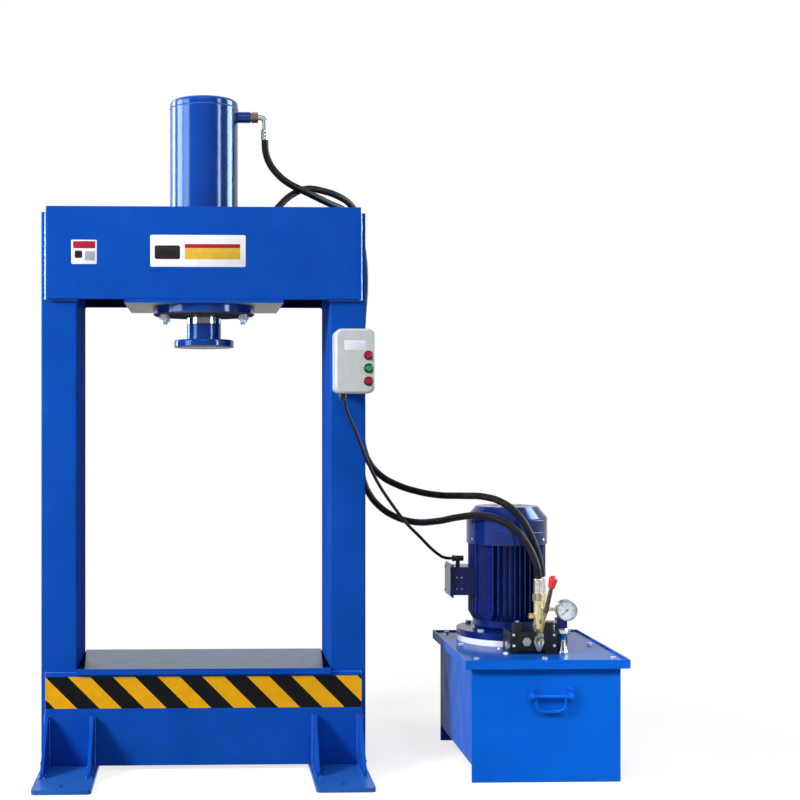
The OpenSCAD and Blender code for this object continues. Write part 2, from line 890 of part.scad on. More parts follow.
// Cylinder and ram

module at_port(z) {
    translate([0, 0, z]) children();
}

module cylinder_barrel() {
    color(blue) difference() {
        union() {
            translate([0, 0, flange_z]) cylinder(d = barrel_d, h = barrel_top - flange_z);
            for (z = [port_low_z, port_top_z]) at_port(z) rod_x(port_boss_d, port_reach);
        }
        translate([0, 0, flange_z - eps]) cylinder(d = bore_d, h = barrel_top - flange_z + 2 * eps);
        for (z = [port_low_z, port_top_z]) at_port(z) rod_x(port_bore, port_reach + eps);
    }
}

module cylinder_cap() {
    r = barrel_d / 2;
    color(blue) translate([0, 0, barrel_top]) rotate_extrude()
        polygon([[0, 0], [r, 0], [r, cap_t - cap_bevel], [r - cap_bevel, cap_t], [0, cap_t]]);
}

module cylinder_flange() {
    r = flange_d / 2;
    b = flange_bevel;
    color(blue) translate([0, 0, flange_z]) difference() {
        rotate_extrude() polygon([
            [barrel_d / 2 + snug, 0], [r - b, 0], [r, b], [r, flange_t], [barrel_d / 2 + snug, flange_t]
        ]);
        at_flange_bolts() translate([0, 0, -eps])
            cylinder(d = bolt_d + 2 * bolt_clear, h = flange_t + 2 * eps);
    }
}

module flange_bolts() {
    low = flange_z - nut_h - bolt_show;
    color(silver) at_flange_bolts() {
        translate([0, 0, low]) cylinder(d = bolt_d, h = seat_top - low);
        translate([0, 0, flange_z]) mirror([0, 0, 1]) nut(nut_af, nut_h);
        translate([0, 0, seat_top]) nut(nut_af, nut_h);
    }
}

module rod_guide() {
    color(brass) translate([0, 0, flange_z]) difference() {
        cylinder(d = bore_d - 2 * snug, h = gland_len);
        translate([0, 0, -eps]) cylinder(d = rod_d + 2 * run_clear, h = gland_len + 2 * eps);
    }
}

module port_fitting() {
    rotate([0, 90, 0]) nut(port_nut_af, port_nut_len);
    translate([port_nut_len, 0, 0]) {
        rod_x(elbow_d, elbow_lead);
        translate([elbow_lead, 0, 0]) {
            bend(elbow_d, elbow_r);
            translate([elbow_r, 0, -elbow_r]) mirror([0, 0, 1]) {
                cylinder(d = elbow_d, h = elbow_tail);
                translate([0, 0, elbow_tail]) cylinder(d = ferrule_d, h = ferrule_len);
            }
        }
    }
}

module port_fittings() {
    color(silver) {
        translate([port_reach, 0, port_top_z]) port_fitting();
        translate([port_reach, 0, port_low_z]) mirror([0, 0, 1]) port_fitting();
    }
}

module ram_rod() {
    color("#d5d8dc") {
        translate([0, 0, rod_z - rod_neck_len]) cylinder(d = rod_neck_d, h = rod_neck_len);
        translate([0, 0, rod_z]) cylinder(d = rod_d, h = piston_z - rod_z);
        translate([0, 0, piston_z]) cylinder(d = rod_neck_d, h = piston_len);
    }
}

module piston() {
    color(steel) translate([0, 0, piston_z]) difference() {
        cylinder(d = bore_d - 2 * run_clear, h = piston_len);
        translate([0, 0, -eps]) cylinder(d = rod_neck_d + 2 * snug, h = piston_len + 2 * eps);
    }
}

module ram_pad() {
    h = pad_t + pad_hub_h;
    b = pad_bevel;
    neck = rod_neck_d / 2 + snug;
    color(blue) translate([0, 0, pad_z]) rotate_extrude() polygon([
        [0, 0], [pad_d / 2 - b, 0], [pad_d / 2, b], [pad_d / 2, pad_t - b], [pad_d / 2 - b, pad_t],
        [pad_hub_d / 2, pad_t], [pad_hub_d / 2, h], [neck, h], [neck, h - rod_neck_len], [0, h - rod_neck_len]
    ]);
}

// Control box on the right column

module on_box(y) {
    translate([(box_x0 + box_x1) / 2, y, box_z + box_h / 2]) rotate([90, 0, 0]) children();
}

module at_buttons() {
    for (i = [0 : 2]) at_button(i) children();
}

// Frame of one button: +Z points out of the cover
module at_button(i) {
    translate([button_x, box_front, box_z + button_low + i * button_pitch]) rotate([90, 0, 0]) children();
}

module control_box() {
    inner = box_d - box_wall;
    color("#c8c9c6") difference() {
        on_box(-col_y) linear_extrude(box_d) round_rect(box_w, box_h, box_r);
        on_box(-col_y - box_wall) linear_extrude(inner + eps)
            round_rect(box_w - 2 * box_wall, box_h - 2 * box_wall, box_r - box_wall);
    }
}

module control_box_cover() {
    b = cover_bevel;
    skin = cover_d - box_wall;
    button_room = box_wall + button_travel + 2;
    color("#d2d3d0") difference() {
        on_box(box_split) hull() {
            linear_extrude(cover_d - b) round_rect(box_w, box_h, box_r, $fn = 32);
            linear_extrude(cover_d) round_rect(box_w - 2 * b, box_h - 2 * b, box_r, $fn = 32);
        }
        on_box(box_split + eps) linear_extrude(skin + eps)
            round_rect(box_w - 2 * box_wall - 2 * b, box_h - 2 * box_wall - 2 * b, box_r);
        at_buttons() translate([0, 0, -button_room])
            cylinder(d = button_d + 2 * button_clear, h = button_room + box_wall);
    }
}

module button_bezels() {
    color("#2a2b2e") at_buttons() difference() {
        cylinder(d1 = bezel_d, d2 = bezel_d - 3, h = bezel_h);
        translate([0, 0, -eps]) cylinder(d = button_d + 2 * button_clear, h = bezel_h + 2 * eps);
    }
}

module button_cap(i) {
    crown = 1.5;
    h = bezel_h + button_show;
    at_button(i) {
        translate([0, 0, -box_wall]) cylinder(d = button_d, h = h + box_wall - crown);
        translate([0, 0, h - crown]) cylinder(d1 = button_d, d2 = button_d - 3, h = crown);
    }
}

module button_bottom() {
    color("#b8122e") button_cap(0);
}

module button_middle() {
    color("#27a060") button_cap(1);
}

module button_top() {
    color("#b8122e") button_cap(2);
}

module cable_glands() {
    color(rubber) {
        translate([box_x0 + gland_inset, -col_y - (box_d + cover_d) / 2, box_z]) mirror([0, 0, 1]) {
            nut(gland_af, gland_h / 2);
            translate([0, 0, gland_h / 2]) cylinder(d1 = gland_af - 2, d2 = gland_af - 6, h = gland_h / 2);
        }
        translate([angle_x, axis_y, term_top]) cylinder(d = stem_d, h = stem_h);
        translate([angle_x - angle_d / 2, axis_y, angle_z]) rod_x(angle_d, 1.5 * angle_d);
        translate([angle_x - angle_d / 2, axis_y, angle_z]) rotate([0, -90, 0]) nut(angle_d, angle_nut_len);
    }
}

// Tank, lid and handles

module tank_shell() {
    w = tank_wall;
    color(unit_blue) {
        for (y = [tank_y0, tank_y1 - w]) block([tank_x, tank_x1], [y, y + w], [0, tank_h]);
        for (x = [tank_x, tank_x1 - w]) block([x, x + w], [tank_y0, tank_y1], [tank_floor, tank_h]);
        block([tank_x, tank_x1], [tank_y0, tank_y1], [tank_floor, tank_floor + w]);
    }
}

// The lid bolts follow the rim, apart from those that would lie under the motor
function lid_bolt_at(i, j) = [bolt_x0 + i * bolt_dx, bolt_y0 + j * bolt_dy, 0];
function beside_motor(p) = norm(p - [axis_x, axis_y, 0]) > motor_flange_d / 2 + lid_bolt_af / 2 + 2;

module at_lid_bolts() {
    for (i = [0 : lid_last], j = [0 : lid_last])
        if ((i == 0 || i == lid_last || j == 0 || j == lid_last) && beside_motor(lid_bolt_at(i, j)))
            translate(lid_bolt_at(i, j)) children();
}

module tank_lid() {
    inner_x = [lid_x0 + rim_t, lid_x1 - rim_t];
    inner_y = [lid_y0 + rim_t, lid_y1 - rim_t];
    through = deck_t + 2 * eps;
    color(unit_blue) difference() {
        block([lid_x0, lid_x1], [lid_y0, lid_y1], [tank_h - rim_down, deck_z + rim_up]);
        block(inner_x, inner_y, [deck_z, deck_z + rim_up + eps]);
        block(inner_x, inner_y, [tank_h - rim_down - eps, tank_h]);
        translate([axis_x, axis_y, tank_h - eps]) cylinder(d = pump_d + 2 * pump_clear, h = through);
        at_lid_bolts() translate([0, 0, tank_h - eps]) cylinder(d = lid_bolt_d + 2 * snug, h = through);
    }
}

module lid_bolts() {
    color(silver) at_lid_bolts() {
        translate([0, 0, tank_h - lid_bolt_len]) cylinder(d = lid_bolt_d, h = lid_bolt_len + deck_t);
        translate([0, 0, deck_z]) nut(lid_bolt_af, lid_bolt_h);
    }
}

// Frame of a handle: the pivot line along X, the tank wall towards +Y
module on_tank_front() {
    translate([tank_x + bail_x, tank_y0 - bail_off, bail_z]) children();
}
module on_tank_rear() {
    translate([tank_x + bail_x, tank_y1 + bail_off, bail_z]) rotate([0, 0, 180]) children();
}

module bail() {
    x = bail_w / 2;
    d = bail_d - 1;
    reach = x + eye_gap + eye_w;
    translate([-reach, 0, 0]) rod_x(bail_d, 2 * reach);
    for (side = [0, 1]) mirror([side, 0, 0]) {
        translate([x, 0, -bail_drop + bail_r]) cylinder(d = d, h = bail_drop - bail_r);
        translate([x - bail_r, 0, -bail_drop]) mirror([0, 0, 1]) bend(d, bail_r);
    }
    translate([-x + bail_r, 0, -bail_drop]) rod_x(d, 2 * (x - bail_r));
}

module eyes() {
    x = bail_w / 2 + eye_gap;
    bore = bail_d + 2 * bail_clear;
    for (side = [0, 1]) mirror([side, 0, 0]) difference() {
        union() {
            translate([x, 0, 0]) rod_x(eye_d, eye_w - 1);
            block([x, x + eye_w - 1], [0, bail_off], [-eye_d / 2, eye_tab]);
        }
        translate([x - eps, 0, 0]) rod_x(bore, eye_w + 2 * eps);
    }
}

module handle_eyes() {
    color(unit_blue) {
        on_tank_front() eyes();
        on_tank_rear() eyes();
    }
}

module front_handle() {
    color(unit_blue) on_tank_front() bail();
}

module rear_handle() {
    color(unit_blue) on_tank_rear() bail();
}

// Motor and pump

module on_axis(z) {
    translate([axis_x, axis_y, z]) children();
}

module at_motor_bolts() {
    for (a = [45 : 90 : 315])
        on_axis(0) rotate([0, 0, a]) translate([motor_bolt_circle / 2, 0, 0]) children();
}

module motor_seat_ring() {
    color(silver) difference() {
        on_axis(deck_z) cylinder(d = motor_flange_d, h = ring_t);
        on_axis(deck_z - eps) cylinder(d = ring_bore, h = ring_t + 2 * eps);
        at_motor_bolts() translate([0, 0, deck_z + ring_t / 3])
            cylinder(d = motor_bolt_d + 2 * snug, h = ring_t);
    }
}

module pump_body() {
    inlet = pump_d / 5;
    color(steel) difference() {
        union() {
            on_axis(deck_z - pump_len) cylinder(d = pump_d, h = pump_len);
            on_axis(deck_z - pump_len - inlet) cylinder(d = pump_d / 2, h = inlet);
        }
        on_axis(deck_z - shaft_plug - eps) cylinder(d = shaft_d + 2 * shaft_clear, h = shaft_plug + 2 * eps);
    }
}

module motor_flange() {
    r = motor_flange_d / 2;
    t = motor_flange_t;
    color(motor_navy) difference() {
        on_axis(flange_low) rotate_extrude() polygon([
            [shaft_d / 2 + shaft_clear, 0], [r, 0], [r, t], [neck_d / 2 - 8, t],
            [neck_d / 2, t + 10], [neck_d / 2, t + neck_h], [shaft_d / 2 + shaft_clear, t + neck_h]
        ]);
        at_motor_bolts() translate([0, 0, flange_low - eps])
            cylinder(d = motor_bolt_d + 2 * snug, h = t + 2 * eps);
    }
}

module motor_bolts() {
    low = deck_z + ring_t / 3;
    color(silver) at_motor_bolts() {
        translate([0, 0, low]) cylinder(d = motor_bolt_d, h = neck_z - low);
        translate([0, 0, neck_z]) nut(motor_bolt_af, 0.7 * motor_bolt_d);
    }
}

// Section of the finned body: straight fins on four quarters, cut to a round outline
module fin_section() {
    circle(d = body_d);
    intersection() {
        circle(d = fin_d);
        for (q = [0, 90], i = [-(fin_n - 1) / 2 : (fin_n - 1) / 2])
            rotate([0, 0, q]) translate([i * fin_pitch, 0]) square([fin_t, fin_d], center = true);
    }
}

module motor_housing() {
    r = fin_d / 2 + 1;
    slope = (fin_d - neck_d) / 2;
    color(motor_navy) difference() {
        on_axis(body_z) intersection() {
            linear_extrude(body_h) fin_section();
            rotate_extrude() polygon([[0, 0], [r - slope, 0], [r, fin_slope_h], [r, body_h], [0, body_h]]);
        }
        on_axis(body_z - eps) cylinder(d = stator_d, h = body_h - bearing_wall + eps);
        on_axis(body_z) cylinder(d = shaft_d + 2 * shaft_clear, h = body_h + eps);
    }
    color(motor_navy) difference() {
        on_axis(body_top) cylinder(d = hood_d - 2 * hood_t - 2 * hood_fit, h = shield_h);
        on_axis(body_top - eps) cylinder(d = shaft_d + 2 * shaft_clear, h = shield_h + 2 * eps);
    }
}

// Half section of the fan cover's outside, with two raised beads
module hood_outline(r, top, beads) {
    polygon([[0, 0], [r, 0], [r, top - hood_slope_h], [r - hood_slope_w, top], [0, top]]);
    if (beads) for (z = [bead_low, bead_low + bead_step])
        translate([r - bead_r / 2, z]) circle(bead_r, $fn = 24);
}

module motor_fan_cover() {
    r = hood_d / 2;
    slot_out = r - hood_slope_w - 8;
    slot_in = slot_out / 3;
    color(motor_navy) on_axis(body_top) difference() {
        rotate_extrude() hood_outline(r, hood_h, true);
        rotate_extrude() translate([0, -eps]) hood_outline(r - hood_t, hood_h - hood_t + eps, false);
        for (i = [0 : slot_n - 1]) rotate([0, 0, i * 360 / slot_n])
            block([slot_in, slot_out], [-slot_w / 2, slot_w / 2], [hood_h - 2 * hood_t, hood_h + eps]);
    }
}

module motor_rotor() {
    low = deck_z - shaft_plug + 1;
    core = stator_d - 2 * air_gap;
    core_gap = 20;
    color(steel) {
        on_axis(low) cylinder(d = shaft_d, h = fan_z + fan_h - low);
        on_axis(body_z + core_gap) cylinder(d = core, h = body_h - bearing_wall - 2 * core_gap);
    }
}

module motor_fan() {
    hub = 2 * shaft_d;
    color("#20242c") on_axis(fan_z) difference() {
        union() {
            cylinder(d = hub, h = fan_h);
            cylinder(d = fan_d, h = fan_t);
            for (i = [0 : fan_n - 1]) rotate([0, 0, i * 360 / fan_n])
                block([0.8 * shaft_d, fan_d / 2 - fan_t], [-fan_t / 2, fan_t / 2], [0, fan_h]);
        }
        translate([0, 0, -eps]) cylinder(d = shaft_d + 2 * snug, h = fan_h + 2 * eps);
    }
}

// Terminal box on the motor's left side

module terminal_box() {
    x1 = axis_x - body_d / 2 + 6;
    y = term_w / 2;
    color(motor_navy) difference() {
        block([term_face, x1], [axis_y - y, axis_y + y], [term_low, term_top]);
        on_axis(term_low - eps) cylinder(d = fin_d + 2 * snug, h = term_h + 2 * eps);
    }
}

module terminal_box_cover() {
    r = term_rim;
    y = term_w / 2;
    color(motor_navy) translate([0, axis_y, 0]) hull() {
        block([term_face - term_cover_t / 2, term_face], [-y - r, y + r], [term_low - r, term_top + r]);
        block([term_out, term_face], [-y, y], [term_low, term_top]);
    }
}

// Valve block, its plugs, spool and lever

module valve_body() {
    color("#1b1a1c") difference() {
        union() {
            block([valve_x0, valve_x1], [valve_y0, valve_y1], [deck_z, valve_top]);
            for (x = [valve_x0 + post_inset, valve_x1 - post_inset])
                translate([x, post_y, valve_top - 1]) cylinder(d = post_d, h = post_h + 1);
        }
        translate([lever_x, valve_y0 - eps, spool_axis]) rod_y(spool_d + 2 * spool_clear, valve_d - 4);
        block([valve_x0 + valve_foot_left, valve_x1 - valve_foot_right], [valve_y0 - eps, valve_y1 + eps],
            [deck_z - eps, deck_z + valve_lift]);
    }
}

module ear() {
    out = lever_off - oval_t;
    block([0, ear_t], [-lever_boss / 2, lever_boss / 2], [0, out]);
    translate([0, 0, out]) rod_x(lever_boss, ear_t);
}

module valve_trim() {
    side = lever_t / 2 + lever_gap;
    tip = oval_w / 5;
    color(silver) {
        translate([lever_x, valve_y0, spool_axis]) rotate([90, 0, 0]) {
            difference() {
                linear_extrude(oval_t) hull() {
                    circle(d = oval_w, $fn = 32);
                    for (s = [-1, 1]) translate([0, s * (oval_h / 2 - tip)]) circle(tip, $fn = 32);
                }
                translate([0, 0, -eps]) cylinder(d = spool_d + 2, h = oval_t + 2 * eps);
            }
            translate([0, lever_arm, oval_t]) {
                translate([side, 0, 0]) ear();
                translate([-side - ear_t, 0, 0]) ear();
                translate([-side - ear_t, 0, lever_off - oval_t]) rod_x(pin_d, 2 * (side + ear_t));
            }
        }
        translate([valve_x0 + plug_x, valve_y0, spool_axis]) rotate([90, 0, 0]) nut(plug_af, plug_h);
        translate([valve_x0, post_y, deck_z + plug_af]) rotate([0, -90, 0]) nut(plug_af, plug_h);
        for (x = [valve_x0 + post_inset, valve_x1 - post_inset])
            translate([x, post_y, valve_top + post_h]) nut(plug_af / 2, plug_h / 2);
    }
}

// The spool's front end is forked for the lever's tail and carries a cross pin
module valve_spool() {
    reach = lever_off + lever_boss / 2;
    back = valve_d - 14;
    fork = lever_t / 2 + lever_gap;
    fork_end = lever_y + lever_boss / 2 + 2;
    color(silver) translate([lever_x, 0, spool_axis]) {
        difference() {
            translate([0, valve_y0 - reach, 0]) rod_y(spool_d, reach + back);
            block([-fork, fork], [valve_y0 - reach - eps, fork_end], [-spool_d, spool_d]);
        }
        translate([-spool_d / 2 + 1, lever_y, 0]) rod_x(pin_d, spool_d - 2);
    }
}

module valve_lever() {
    fork_w = pin_d + 1.2;
    fork_h = 5;
    tail = lever_arm + fork_h;
    half = pin_d + 1;
    neck = lever_boss - 1;
    color("#6b6152") translate([lever_x, lever_y, lever_z]) {
        difference() {
            union() {
                translate([-lever_t / 2, 0, 0]) rod_x(lever_boss, lever_t);
                block([-lever_t / 2, lever_t / 2], [-half, half], [-tail, neck]);
            }
            translate([-lever_t, 0, 0]) rod_x(pin_d + 2 * pin_clear, 2 * lever_t);
            block([-lever_t, lever_t], [-fork_w / 2, fork_w / 2], [-tail - eps, -lever_arm + fork_h]);
        }
        rotate([0, lever_lean, 0]) rotate_extrude() polygon([
            [0, neck - 2], [lever_d1 / 2, neck - 2], [lever_d1 / 2, sleeve_z], [lever_d2 / 2, sleeve_z + 10],
            [lever_d2 / 2 - 1, lever_len], [0, lever_len]
        ]);
    }
}

module lever_knob() {
    r = knob_d / 2;
    color("#d81f1f") translate([lever_x, lever_y, lever_z]) rotate([0, lever_lean, 0]) {
        translate([0, 0, lever_len]) rotate_extrude() intersection() {
            union() {
                translate([0, knob_len - r]) circle(r);
                polygon([[0, 0], [0.75 * r, 0], [r, knob_len - r], [0, knob_len - r]]);
            }
            square([r, knob_len]);
        }
    }
}

// Hose fittings, gauge, relief valve and filler on the valve block and deck

module hose_stack() {
    cylinder_top = fit_nut_h + fit_h;
    nut(fit_af, fit_nut_h);
    translate([0, 0, fit_nut_h]) cylinder(d = fit_d, h = fit_h);
    translate([0, 0, cylinder_top]) nut(fit_af + 2, fit_top_h);
    translate([0, 0, cylinder_top + fit_top_h]) cylinder(d = ferrule_d, h = fit_ferrule);
}

module hose_fittings() {
    side_plug = 0.6 * fit_af;
    reach = valve_x1 - return_inset;
    level = valve_top + return_r + 4;
    color(brass) {
        translate(front_fit) hose_stack();
        translate(rear_fit) hose_stack();
        translate(front_fit + [-fit_d / 2 + 2, 0, 2 * fit_nut_h]) rotate([0, -90, 0])
            nut(side_plug, fit_plug_len);
        translate([front_fit[0] + fit_d / 2 - 2, front_fit[1], gauge_at[2]])
            rod_x(gauge_pipe, gauge_x - fit_d / 2 - gauge_block / 2 + 2);
    }
    color(silver) {
        translate([reach, return_y, valve_top]) cylinder(d = return_d, h = level - return_r - valve_top);
        translate([reach + return_r, return_y, level]) mirror([1, 0, 0]) bend(return_d, return_r);
        translate([reach + return_r, return_y, level]) rod_x(return_d, relief_x0 - reach - return_r);
    }
}

module relief_valve() {
    y0 = valve_y0 + relief_y;
    cap = 0.8 * relief_w;
    color(motor_navy) {
        block([relief_x0, relief_x0 + relief_w], [y0, y0 + relief_w], [deck_z, deck_z + relief_h]);
        translate([relief_x0 + relief_w / 2, y0 + relief_w / 2, deck_z + relief_h])
            cylinder(d = cap, h = cap / 3);
    }
}

// Round gauge facing the front: a cup with a rim, a back pipe and an elbow block
module pressure_gauge() {
    r = gauge_d / 2;
    g = gauge_rim;
    f = gauge_t - gauge_face;
    pin = needle_pin / 2 + 0.1;
    color("#dfe2e6") translate(gauge_at) {
        rotate([90, 0, 0]) rotate_extrude() polygon([
            [pin, 2], [pin, f], [r - g, f], [r - g, gauge_t - 1], [r - g - 1, gauge_t], [r - 1, gauge_t],
            [r, gauge_t - 2], [r, 3], [r - 3, 0], [0, 0], [0, 2]
        ]);
        block([-gauge_block / 2, gauge_block / 2], [0, gauge_block], [-gauge_block / 2, gauge_block / 2]);
    }
}

module gauge_needle() {
    floor_y = gauge_t - gauge_face;
    hub = 2 * needle_pin;
    color("#15191c") translate(gauge_at) rotate([90, 0, 0]) {
        translate([0, 0, 3]) cylinder(d = needle_pin, h = floor_y + 2);
        translate([0, 0, floor_y + 2.5]) {
            cylinder(d = hub, h = needle_t + 1);
            rotate([0, 0, -90 - needle_zero]) linear_extrude(needle_t)
                polygon([[-hub, -1], [-hub, 1], [0.8 * needle_len, 0.8], [needle_len, 0],
                         [0.8 * needle_len, -0.8]]);
        }
    }
}

module filler_cap() {
    r = filler_d / 2;
    h = filler_h;
    color(silver) translate([valve_x1 + filler_gap, valve_y0 + filler_y, deck_z]) rotate_extrude()
        polygon([
            [0, 0], [r, 0], [r, 0.08 * h], [0.9 * r, 0.12 * h], [0.5 * r, 0.5 * h], [0.5 * r, 0.56 * h],
            [0.8 * r, 0.76 * h], [r, 0.8 * h], [r, 0.92 * h], [0.7 * r, h], [0, h]
        ]);
}

// Hoses and motor cable

module hose_upper() {
    color(rubber) sweep(upper_route, hose_d);
}

module hose_lower() {
    color(rubber) sweep(lower_route, hose_d);
}

module motor_cable() {
    color(rubber) sweep(cable_route, cable_d);
}

column_left();
column_right();
beam_front_plate();
beam_back_plate();
beam_ribs();
cylinder_seat_plate();
base_front_plate();
base_back_plate();
base_ribs();
table_plate();
hazard_tape_yellow();
hazard_tape_black();
foot_plate_left();
foot_plate_right();
foot_gussets();
cylinder_barrel();
cylinder_cap();
cylinder_flange();
flange_bolts();
rod_guide();
port_fittings();
ram_rod();
piston();
ram_pad();
control_box();
control_box_cover();
button_bezels();
button_top();
button_middle();
button_bottom();
cable_glands();
tank_shell();
tank_lid();
lid_bolts();
handle_eyes();
front_handle();
rear_handle();
motor_seat_ring();
pump_body();
motor_flange();
motor_housing();
motor_fan_cover();
motor_bolts();
motor_rotor();
motor_fan();
terminal_box();
terminal_box_cover();
valve_body();
valve_trim();
valve_spool();
valve_lever();
lever_knob();
hose_fittings();
relief_valve();
pressure_gauge();
gauge_needle();
filler_cap();
hose_upper();
hose_lower();
motor_cable();
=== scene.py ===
"""A blue portal press with its hydraulic power unit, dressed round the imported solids. Metres, +Z up."""
import json
import math

import bmesh
import bpy
from mathutils import Matrix, Vector

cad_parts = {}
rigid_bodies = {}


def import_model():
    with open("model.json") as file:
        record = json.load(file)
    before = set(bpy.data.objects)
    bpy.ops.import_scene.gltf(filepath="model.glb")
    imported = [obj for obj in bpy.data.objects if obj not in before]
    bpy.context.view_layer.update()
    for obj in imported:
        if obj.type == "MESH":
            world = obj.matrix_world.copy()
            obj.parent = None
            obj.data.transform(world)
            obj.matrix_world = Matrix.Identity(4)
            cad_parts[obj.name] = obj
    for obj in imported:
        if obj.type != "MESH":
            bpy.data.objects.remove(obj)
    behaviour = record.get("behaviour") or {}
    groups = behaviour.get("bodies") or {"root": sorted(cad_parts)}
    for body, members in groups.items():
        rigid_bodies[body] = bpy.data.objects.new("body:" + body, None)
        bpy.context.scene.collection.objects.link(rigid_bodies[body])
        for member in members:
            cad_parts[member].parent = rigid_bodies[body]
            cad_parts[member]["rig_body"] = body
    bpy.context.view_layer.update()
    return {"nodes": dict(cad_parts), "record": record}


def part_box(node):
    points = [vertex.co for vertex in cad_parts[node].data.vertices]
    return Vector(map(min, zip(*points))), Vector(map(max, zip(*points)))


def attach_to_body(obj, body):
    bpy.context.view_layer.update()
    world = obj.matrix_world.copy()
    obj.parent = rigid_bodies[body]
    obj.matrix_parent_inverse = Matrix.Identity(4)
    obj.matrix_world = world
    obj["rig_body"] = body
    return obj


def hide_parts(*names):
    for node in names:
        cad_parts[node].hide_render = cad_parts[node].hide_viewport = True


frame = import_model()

MM = 0.001
SAME_POINT = 0.01 * MM              # points nearer than this are one
PHOTO = 800                         # width and height of the photo in pixels
scene = bpy.context.scene
scene.view_settings.view_transform = "Standard"
solids = frame["nodes"]
X, Y, Z = Vector((1, 0, 0)), Vector((0, 1, 0)), Vector((0, 0, 1))


# ---------------------------------------------------------------- small tools

def srgb(code):
    """A hex colour as linear red, green, blue and alpha."""
    parts = [int(code[i:i + 2], 16) / 255 for i in (1, 3, 5)]
    return tuple(p / 12.92 if p <= 0.04045 else ((p + 0.055) / 1.055) ** 2.4 for p in parts) + (1.0,)


def node(tree, kind, sockets=None, **settings):
    """Adds a node. sockets maps a socket's name or number to a value or to another node's output."""
    made = tree.nodes.new(kind)
    for key, value in settings.items():
        setattr(made, key, value)
    for key, value in (sockets or {}).items():
        if isinstance(value, bpy.types.NodeSocket):
            tree.links.new(value, made.inputs[key])
        else:
            made.inputs[key].default_value = value
    return made


def blank_material(name):
    """An empty material: its tree and the Object coordinates that every pattern reads."""
    made = bpy.data.materials.new(name)
    made.use_nodes = True
    tree = made.node_tree
    tree.nodes.clear()
    return made, tree, node(tree, "ShaderNodeTexCoord").outputs["Object"]


def close_material(tree, sockets):
    """The shader with its settings, joined to the output."""
    shader = node(tree, "ShaderNodeBsdfPrincipled", sockets)
    node(tree, "ShaderNodeOutputMaterial", {"Surface": shader.outputs[0]})


def solid_box(name):
    """The low and the high corner of a solid at rest, in millimetres."""
    return tuple(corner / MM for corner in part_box(name))


def object_of(name, mesh):
    """A new object in the scene."""
    made = bpy.data.objects.new(name, mesh)
    scene.collection.objects.link(made)
    return made


def mesh_of(form, name):
    """A finished bmesh as a mesh with faces outward and smooth, its corners kept crisp."""
    bmesh.ops.recalc_face_normals(form, faces=form.faces)
    made = bpy.data.meshes.new(name)
    for face in form.faces:
        face.smooth = True
    for edge in form.edges:
        edge.smooth = len(edge.link_faces) == 2 and edge.calc_face_angle(0) < math.radians(35)
    form.to_mesh(made)
    form.free()
    return made


def turned_form(profile, steps, closed=False):
    """A profile, each point a radius and a height, turned once round Z. A closed one ends where it starts."""
    form = bmesh.new()
    rings = [[form.verts.new((r * math.cos(a), r * math.sin(a), z)) for r, z in profile]
             for a in (2 * math.pi * i / steps for i in range(steps))]
    spans = [(i, (i + 1) % len(profile)) for i in range(len(profile) if closed else len(profile) - 1)]
    for one, two in zip(rings, rings[1:] + rings[:1]):
        for i, j in spans:
            form.faces.new((one[i], two[i], two[j], one[j]))
    bmesh.ops.remove_doubles(form, verts=form.verts, dist=SAME_POINT)
    return form


def settle(piece):
    """Turns a piece with modifiers into a plain mesh and removes the modifiers."""
    bpy.context.view_layer.update()
    seen = piece.evaluated_get(bpy.context.evaluated_depsgraph_get())
    result = bpy.data.meshes.new_from_object(seen)
    piece.modifiers.clear()
    piece.data = result
    return piece


# ---------------------------------------------------------------- camera, floor and light

VANISHING = Vector((204, 418))      # photo pixels where lines along Y meet
FOCAL_PIXELS = 1402
TURN = math.radians(1.8)            # a small turn to the right takes up part of the sideways shift
EYE = (0, -4.026, 0.970)
DAYLIGHT = (0.6, 0.86, 1.0)         # tint of the panels that polish shows

camera_data = bpy.data.cameras.new("camera")
camera = object_of("camera", camera_data)
camera_data.sensor_width = 36
camera_data.lens = FOCAL_PIXELS / PHOTO * camera_data.sensor_width
camera_data.shift_x = (PHOTO / 2 - VANISHING.x - FOCAL_PIXELS * math.tan(TURN)) / PHOTO
camera_data.shift_y = (VANISHING.y - PHOTO / 2) / PHOTO
camera.location = EYE
camera.rotation_euler = (math.pi / 2, 0, -TURN)
scene.camera = camera


def lamp(name, place, aim, size, watts, height=None, spread=180):
    """A soft lamp at a place, turned to a point. One with a height is a panel that only polish shows."""
    data = bpy.data.lights.new(name, "AREA")
    data.size, data.energy, data.spread = size, watts, math.radians(spread)
    if height:
        data.shape, data.size_y, data.color = "RECTANGLE", height, DAYLIGHT
    made = object_of(name, data)
    made.location = place
    made.rotation_euler = (Vector(aim) - Vector(place)).to_track_quat("-Z", "Y").to_euler()
    made.visible_camera = False
    made.visible_glossy = height is not None
    made.visible_diffuse = height is None


lamp("key_lamp", (-4.2, -2.7, 2.9), (0.3, 0, 0.8), 1.4, 325)
lamp("fill_lamp", (0.4, -5.4, 1.8), (0.4, 0, 0.8), 2.4, 20)
lamp("unit_lamp", (1.35, -2.6, 2.5), (1.1, -0.3, 0.25), 0.5, 1.25, spread=26)
lamp("right_lamp", (3.6, -2.4, 2.4), (0.2, 0, 1.0), 1.2, 26)
lamp("top_lamp", (-0.6, -0.8, 4.4), (0.3, 0, 0.6), 2.0, 60)
